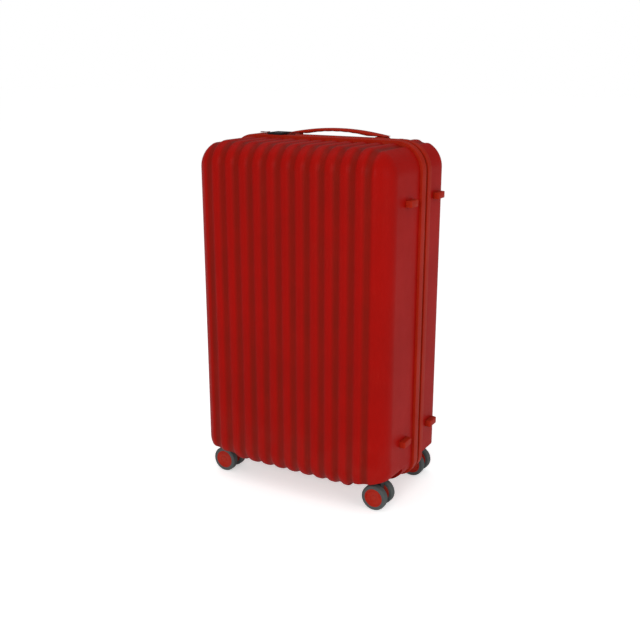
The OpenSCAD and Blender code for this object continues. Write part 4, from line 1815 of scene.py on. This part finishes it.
@dataclass
class Studio:
    """Plain pale floor, soft light from the front, the top and the right, and the camera."""

    finishes: Wardrobe
    camera_at: tuple[float, float, float] = (0.8531, -1.4724, 0.8174)
    camera_to: tuple[float, float, float] = (0.0, 0.0001, 0.3251)
    lens: float = 50.5
    sensor: float = 36.0
    floor_size: float = 40.0
    floor_gap: float = 0.5 * MM
    lit: tuple[float, float, float] = (0.0, 0.0, 0.33)
    lamps: tuple[Lamp, ...] = (
        Lamp("key", (0.8, -3.5, 1.7), 1.6, 37.5, (1.0, 0.985, 0.96)),
        Lamp("top", (-0.3, -0.3, 3.2), 2.4, 14.0, (1.0, 1.0, 1.0)),
        Lamp("side", (3.2, -0.7, 1.3), 1.8, 20.0, (0.97, 0.98, 1.0)),
    )
    daylight: float = 0.55
    backdrop: float = 1.0
    mirrored: float = 0.35

    def camera(self) -> None:
        """Sets the camera up."""
        data = bpy.data.cameras.new("camera")
        data.lens = self.lens
        data.sensor_width = self.sensor
        data.clip_end = 100.0
        camera = bpy.data.objects.new("camera", data)
        bpy.context.collection.objects.link(camera)
        camera.location = self.camera_at
        way = Vector(self.camera_to) - Vector(self.camera_at)
        camera.rotation_euler = way.to_track_quat("-Z", "Y").to_euler()
        bpy.context.scene.camera = camera

    def floor(self) -> None:
        """Lays the floor."""
        deselect()
        bpy.ops.mesh.primitive_plane_add(size=self.floor_size, location=(0, 0, -self.floor_gap))
        floor = own(bpy.context.active_object, "floor")
        apply_place(floor)
        dress(floor, self.finishes["floor_pale"])

    def build(self) -> None:
        """Sets up the floor, the lights, the world and the camera."""
        self.camera()
        self.floor()
        for lamp in self.lamps:
            lamp.add(self.lit)
        world = bpy.data.worlds.new("studio")
        world.use_nodes = True
        sheet = Sheet(world.node_tree)
        path = sheet.add("ShaderNodeLightPath")
        seen = sheet.span(path.outputs["Is Camera Ray"], 0.0, 1.0, self.daylight, self.backdrop)
        held = sheet.span(path.outputs["Is Glossy Ray"], 0.0, 1.0, 1.0, self.mirrored)
        feed(sheet, world.node_tree.nodes["Background"], Color=WHITE, Strength=sheet.times(seen, held))
        bpy.context.scene.world = world
        bpy.context.scene.view_settings.view_transform = "Standard"


# ---- inside ---------------------------------------------------------------------------


@dataclass
class Lining(RibbedShell):
    """One half's cloth lining: a tray glued into the shell, with soft wrinkles."""

    PART: ClassVar[str] = "lining"

    edge_r: float = 14 * MM
    wrinkle: float = 2.2 * MM
    thickness: float = 0.9 * MM
    inset: float = 45 * MM
    cells: Sequence[Sequence[int]] = ((9, 10), (4, 5), (11, 10))
    plain_edge: float = 12 * MM
    folds: tuple[float, float, float] = (9, 22, 7)
    creases: tuple[float, float, float] = (34, 50, 20)

    def __post_init__(self) -> None:
        """Reads the lining's corners from the frame, and sets its own outline."""
        super().__post_init__()
        self.path = CasePath(self.high.x, self.low.z, self.high.z, 20 * MM, 40 * MM)

    def ribs(self, points: np.ndarray, normals: np.ndarray) -> np.ndarray:
        """How far the wrinkles stand in from the tray's plain shape, strongest along its edges.

        Args:
            points: Rows of X, Y and Z on the plain shape.
            normals: Its direction at each.

        Returns:
            A depth for each row.
        """
        folds = wander(points, self.folds)
        creases = wander(points, self.creases, (5, 0, 0))
        bend = 1 - np.abs(normals).max(axis=1)
        free = ease(0.0, self.plain_edge, np.abs(points[:, 1] - self.seam))
        slack = np.clip(0.5 + 0.7 * folds + 0.35 * creases, 0.0, 1.3)
        return self.wrinkle * free * (0.35 + 1.6 * bend) * slack

    def build(self, openings: Sequence[tuple[Point, Point]] = ()) -> Obj:
        """Models the lining.

        Args:
            openings: Unused boxes, as the cloth has no holes.

        Returns:
            The finished lining.
        """
        obj = self.skin()
        tidy_normals(obj, 1e-7)
        add_modifier(obj, "SOLIDIFY", thickness=self.thickness, offset=-1.0, use_rim=True)
        obj.name = f"{self.name}_cloth"
        self.keep(obj, self.side.value, "lining_cloth", "lining", [self.name], 60.0)
        return obj


@dataclass
class Divider(Assembly):
    """The divider panel of the front half, with a mesh pocket and bound edges."""

    pocket_half: float = 152 * MM
    pocket_low: float = 118 * MM
    pocket_high: float = 560 * MM
    bulge: float = 2.6 * MM
    border: float = 1.5 * MM
    panel_in: float = 3 * MM
    corner_pull: float = 0.035
    ripple: float = 0.35 * MM
    mesh_thick: float = 0.8 * MM
    welt: tuple[float, float, float] = (5 * MM, 1.2 * MM, 0.7 * MM)
    hem: tuple[float, float, float] = (6 * MM, 3 * MM, 0.6 * MM)

    def build(self) -> None:
        """Models the panel with its binding, and the pocket."""
        low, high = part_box("divider_panel")
        body = Side.FRONT.value
        start = (low.x + self.panel_in, low.y + 0.4 * MM, low.z + self.panel_in)
        end = (high.x - self.panel_in, high.y - 0.5 * MM, high.z - self.panel_in)
        panel = grid_block("divider_cloth", start, end, ((8, 8), (1,), (10, 9)))
        points = read_points(panel)
        middle = np.array([0.0, 0.0, (low.z + high.z) / 2])
        half = np.array([high.x, 1.0, (high.z - low.z) / 2])
        across = np.minimum(np.abs((points - middle) / half), 1) ** 8
        squeeze = 1 - self.corner_pull * across[:, 0] * across[:, 2]
        points[:, 0] *= squeeze
        points[:, 2] = middle[2] + (points[:, 2] - middle[2]) * squeeze
        points[:, 1] += self.ripple * wander(points, (7, 0, 6), (0, 3, 0))
        write_points(panel, points)
        self.keep(panel, body, "lining_cloth", "lining", ["divider_panel"], 40.0)
        border = self.border
        path = CasePath(high.x - border, low.z + border, high.z - border, 16 * MM, 36 * MM)
        inside, outside, radius = self.welt
        welt = round_profile(-inside, outside, low.y - 0.3 * MM, high.y + 0.2 * MM, radius, 3)
        self.keep(path.sweep("divider_binding", welt, 10), body, "binding", "strap")
        self.pocket(high.y - 0.1 * MM, body)

    def pocket(self, back: float, body: str) -> None:
        """Models the mesh pocket on the panel.

        Args:
            back: Y of the panel's face.
            body: The body it rides on.
        """
        netting = grid_block("pocket_mesh", (-self.pocket_half, back, self.pocket_low),
                             (self.pocket_half, back + self.mesh_thick, self.pocket_high),
                             ((6, 8), (1,), (8, 8)))
        points = read_points(netting)
        u = points[:, 0] / self.pocket_half
        v = (points[:, 2] - self.pocket_low) / (self.pocket_high - self.pocket_low)
        full = (1 - u ** 4) * np.sin(np.clip(v, 0, 1) * math.pi) ** 0.6
        points[:, 1] += self.bulge * full * (0.75 + 0.35 * wander(points, (12, 0, 8)))
        write_points(netting, points)
        self.keep(netting, body, "mesh_cloth", "mesh", [], 60.0)
        path = CasePath(self.pocket_half, self.pocket_low, self.pocket_high, 12 * MM, 12 * MM)
        inside, outside, radius = self.hem
        hem = round_profile(-inside, outside, back - 0.2 * MM, back + 2 * self.mesh_thick, radius, 3)
        self.keep(path.sweep("pocket_binding", hem, 8), body, "binding", "strap")


@dataclass
class Straps(Assembly):
    """The crossed packing straps of the rear half, with their buckle and anchor plates."""

    width: float = 25 * MM
    thick: float = 1.4 * MM
    sag: float = 0.5 * MM
    sag_turns: float = 26.0
    plate: tuple[float, float, float] = (17 * MM, 2.6 * MM, 8 * MM)
    plate_in: float = 12 * MM
    plate_sunk: float = 0.2 * MM
    case: tuple[float, float, float] = (29 * MM, 7 * MM, 18 * MM)
    slot: tuple[float, float, float] = (2.5 * MM, 4 * MM, 12 * MM)
    slot_x: float = 21 * MM
    tongue: tuple[float, float, float] = (13 * MM, 4 * MM, 7 * MM)

    def build(self) -> None:
        """Models the straps and what is on them."""
        low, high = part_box("packing_straps")
        body = Side.REAR.value
        middle = (low.z + high.z) / 2
        half_x, half_z = high.x - self.width / 2, (high.z - low.z) / 2 - self.width / 2
        lean = math.atan2(half_x, half_z)
        length = 2 * math.hypot(half_x, half_z)
        bands = []
        for sign, off in ((1, 0.0), (-1, self.thick * 0.4)):
            band = grid_block("band", (-self.width / 2, high.y - self.thick - off, middle - length / 2),
                              (self.width / 2, high.y - off, middle + length / 2), ((4,), (1,), (8, 9)))
            points = read_points(band)
            points[:, 1] -= self.sag * np.abs(np.sin(points[:, 2] * self.sag_turns)) * (1 - off / MM)
            write_points(band, points)
            soften(band, 0.35 * MM, 2)
            band.matrix_world = (Matrix.Translation((0, 0, middle)) @ Matrix.Rotation(sign * lean, 4, "Y")
                                 @ Matrix.Translation((0, 0, -middle)))
            apply_place(band)
            bands.append(band)
        webbing = join("packing_webbing", bands)
        self.keep(webbing, body, "webbing", "strap", ["packing_straps"], 50.0)
        plates = []
        wide, thick, tall = self.plate
        for sx in (-1, 1):
            for sz in (-1, 1):
                x = sx * (high.x - self.plate_in)
                z = middle + sz * ((high.z - low.z) / 2 - self.plate_in)
                plate = block("plate", (x - wide, high.y - thick, z - tall),
                              (x + wide, high.y + self.plate_sunk, z + tall))
                soften(plate, 1.2 * MM, 3)
                plates.append(plate)
        self.keep(join("strap_anchors", plates), body, "dark_plastic", "dark_plastic")
        self.buckle(low.y, middle, body)

    def buckle(self, front: float, middle: float, body: str) -> None:
        """Models the side-release buckle where the straps cross.

        Args:
            front: Y of its front face.
            middle: Z of its middle.
            body: The body it rides on.
        """
        wide, deep, tall = self.case
        case = block("case", (-wide, front, middle - tall), (wide, front + deep, middle + tall))
        pick(case, Kind.FACES, lambda _, way: way.y < -0.9)
        with editing(case, Kind.FACES):
            bpy.ops.mesh.inset(thickness=6 * MM, depth=-1.4 * MM)
        soften(case, 1.6 * MM, 4)
        wide, deep, tall = self.slot
        before = front - 5 * MM
        slots = [block("slot", (x - wide, before, middle - tall), (x + wide, front + deep, middle + tall))
                 for x in (-self.slot_x, self.slot_x)]
        cut(case, slots)
        wide, deep, tall = self.tongue
        tongue = block("tongue", (-wide, front + 0.5 * MM, middle - tall),
                       (wide, front + deep, middle + tall))
        soften(tongue, 1.0 * MM, 3)
        self.keep(join("strap_buckle", [case, tongue]), body, "dark_plastic", "dark_plastic")


@dataclass
class HingeTape(Assembly):
    """The cloth strip inside the +X side that joins the two halves."""

    gap: float = 4.8 * MM
    thick: float = 0.6 * MM
    reach: float = 14 * MM
    low: float = 150 * MM
    high: float = 560 * MM

    def build(self) -> None:
        """Models the strip across the opening."""
        front_y, rear_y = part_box("front_shell")[1].y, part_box("rear_shell")[0].y
        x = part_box("rear_shell")[1].x - self.gap
        strip = grid_block("hinge_tape", (x - self.thick, front_y - self.reach, self.low),
                           (x, rear_y + self.reach, self.high), ((1,), (6, 4), (6, 4)))
        smooth(strip, 60.0)
        dress(strip, self.finishes["binding"])
        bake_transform(strip)
        LOG.info("hinge_tape bends across the opening")


# ---- main -----------------------------------------------------------------------------


def rear_openings(path: CasePath, y: float, side_z: float, leg_x: float) -> list[tuple[Point, Point]]:
    """Where the rear shell's skin is cut through: for the mast's cup, the lock and the handles' legs.

    Args:
        path: The case's outline.
        y: Y of the handles' middles.
        side_z: Z of the side handle's middle.
        leg_x: Distance of each leg from its handle's middle.

    Returns:
        The lowest and highest corner of each opening.
    """
    above, below = 20 * MM, 40 * MM
    sleeve_x, sleeve_y = 8.1 * MM, 6.6 * MM
    lock_in, past_seam = 1 * MM, 0.3 * MM
    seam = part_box("rear_shell")[0].y
    cup_low, cup_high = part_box("mast_cup")
    lock_low, lock_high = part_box("lock_body")
    holes = [(tuple(cup_low), (cup_high.x, cup_high.y, path.high + above)),
             ((lock_low.x + lock_in, seam - past_seam, lock_low.z),
              (lock_high.x - lock_in, lock_high.y, path.high + above))]
    for sign in (-1, 1):
        x, z = sign * leg_x, side_z + sign * leg_x
        holes.append(((x - sleeve_x, y - sleeve_y, path.high - below),
                      (x + sleeve_x, y + sleeve_y, path.high + above)))
        holes.append(((-path.half_w - above, y - sleeve_y, z - sleeve_x),
                      (-path.half_w + below, y + sleeve_y, z + sleeve_x)))
    return holes


def build_suitcase(frame: dict) -> None:
    """Builds every assembly in order.
    """
    finishes = Wardrobe()
    Studio(finishes).build()
    for node in frame["nodes"].values():
        dress(node, finishes["dark_plastic"])
    path = case_path()
    top_low, top_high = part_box("top_handle")
    side_low, side_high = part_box("side_handle")
    top_y = (top_low.y + top_high.y) / 2
    side_z = (side_low.z + side_high.z) / 2
    leg_x, block_half = CarryHandle.leg_x, 13 * MM
    holes = rear_openings(path, top_y, side_z, leg_x)
    seats = [(leg_x, top_y, block_half)]
    RibbedShell(frame, finishes, Side.FRONT, edge_r=44 * MM).build()
    RibbedShell(frame, finishes, Side.REAR, edge_r=30 * MM, seats=seats).build(holes)
    Rims(frame, finishes).build()
    Zip(frame, finishes).build()
    Lock(frame, finishes).build()
    CarryHandle(frame, finishes, place=Matrix.Translation((0, top_y, path.high))).build()
    on_side = Matrix(((0, 0, -1, -path.half_w), (0, 1, 0, top_y), (1, 0, 0, side_z), (0, 0, 0, 1)))
    side_handle = CarryHandle(frame, finishes, "side_handle", "carry_side", rise=11.2 * MM, thick=4 * MM,
                              place=on_side)
    side_handle.build()
    SideFeet(frame, finishes).build()
    Mast(frame, finishes).build()
    CasterMounts(frame, finishes).build()
    for side in Side:
        Lining(frame, finishes, side).build()
    Divider(frame, finishes).build()
    Straps(frame, finishes).build()
    HingeTape(frame, finishes).build()
    for corner in CORNERS:
        Caster(frame, finishes, corner).build()


def main() -> None:
    """Builds the suitcase round the frame."""
    logging.basicConfig(level=logging.INFO, format="%(name)s: %(message)s")
    build_suitcase(frame)


if __name__ == "__main__":
    main()
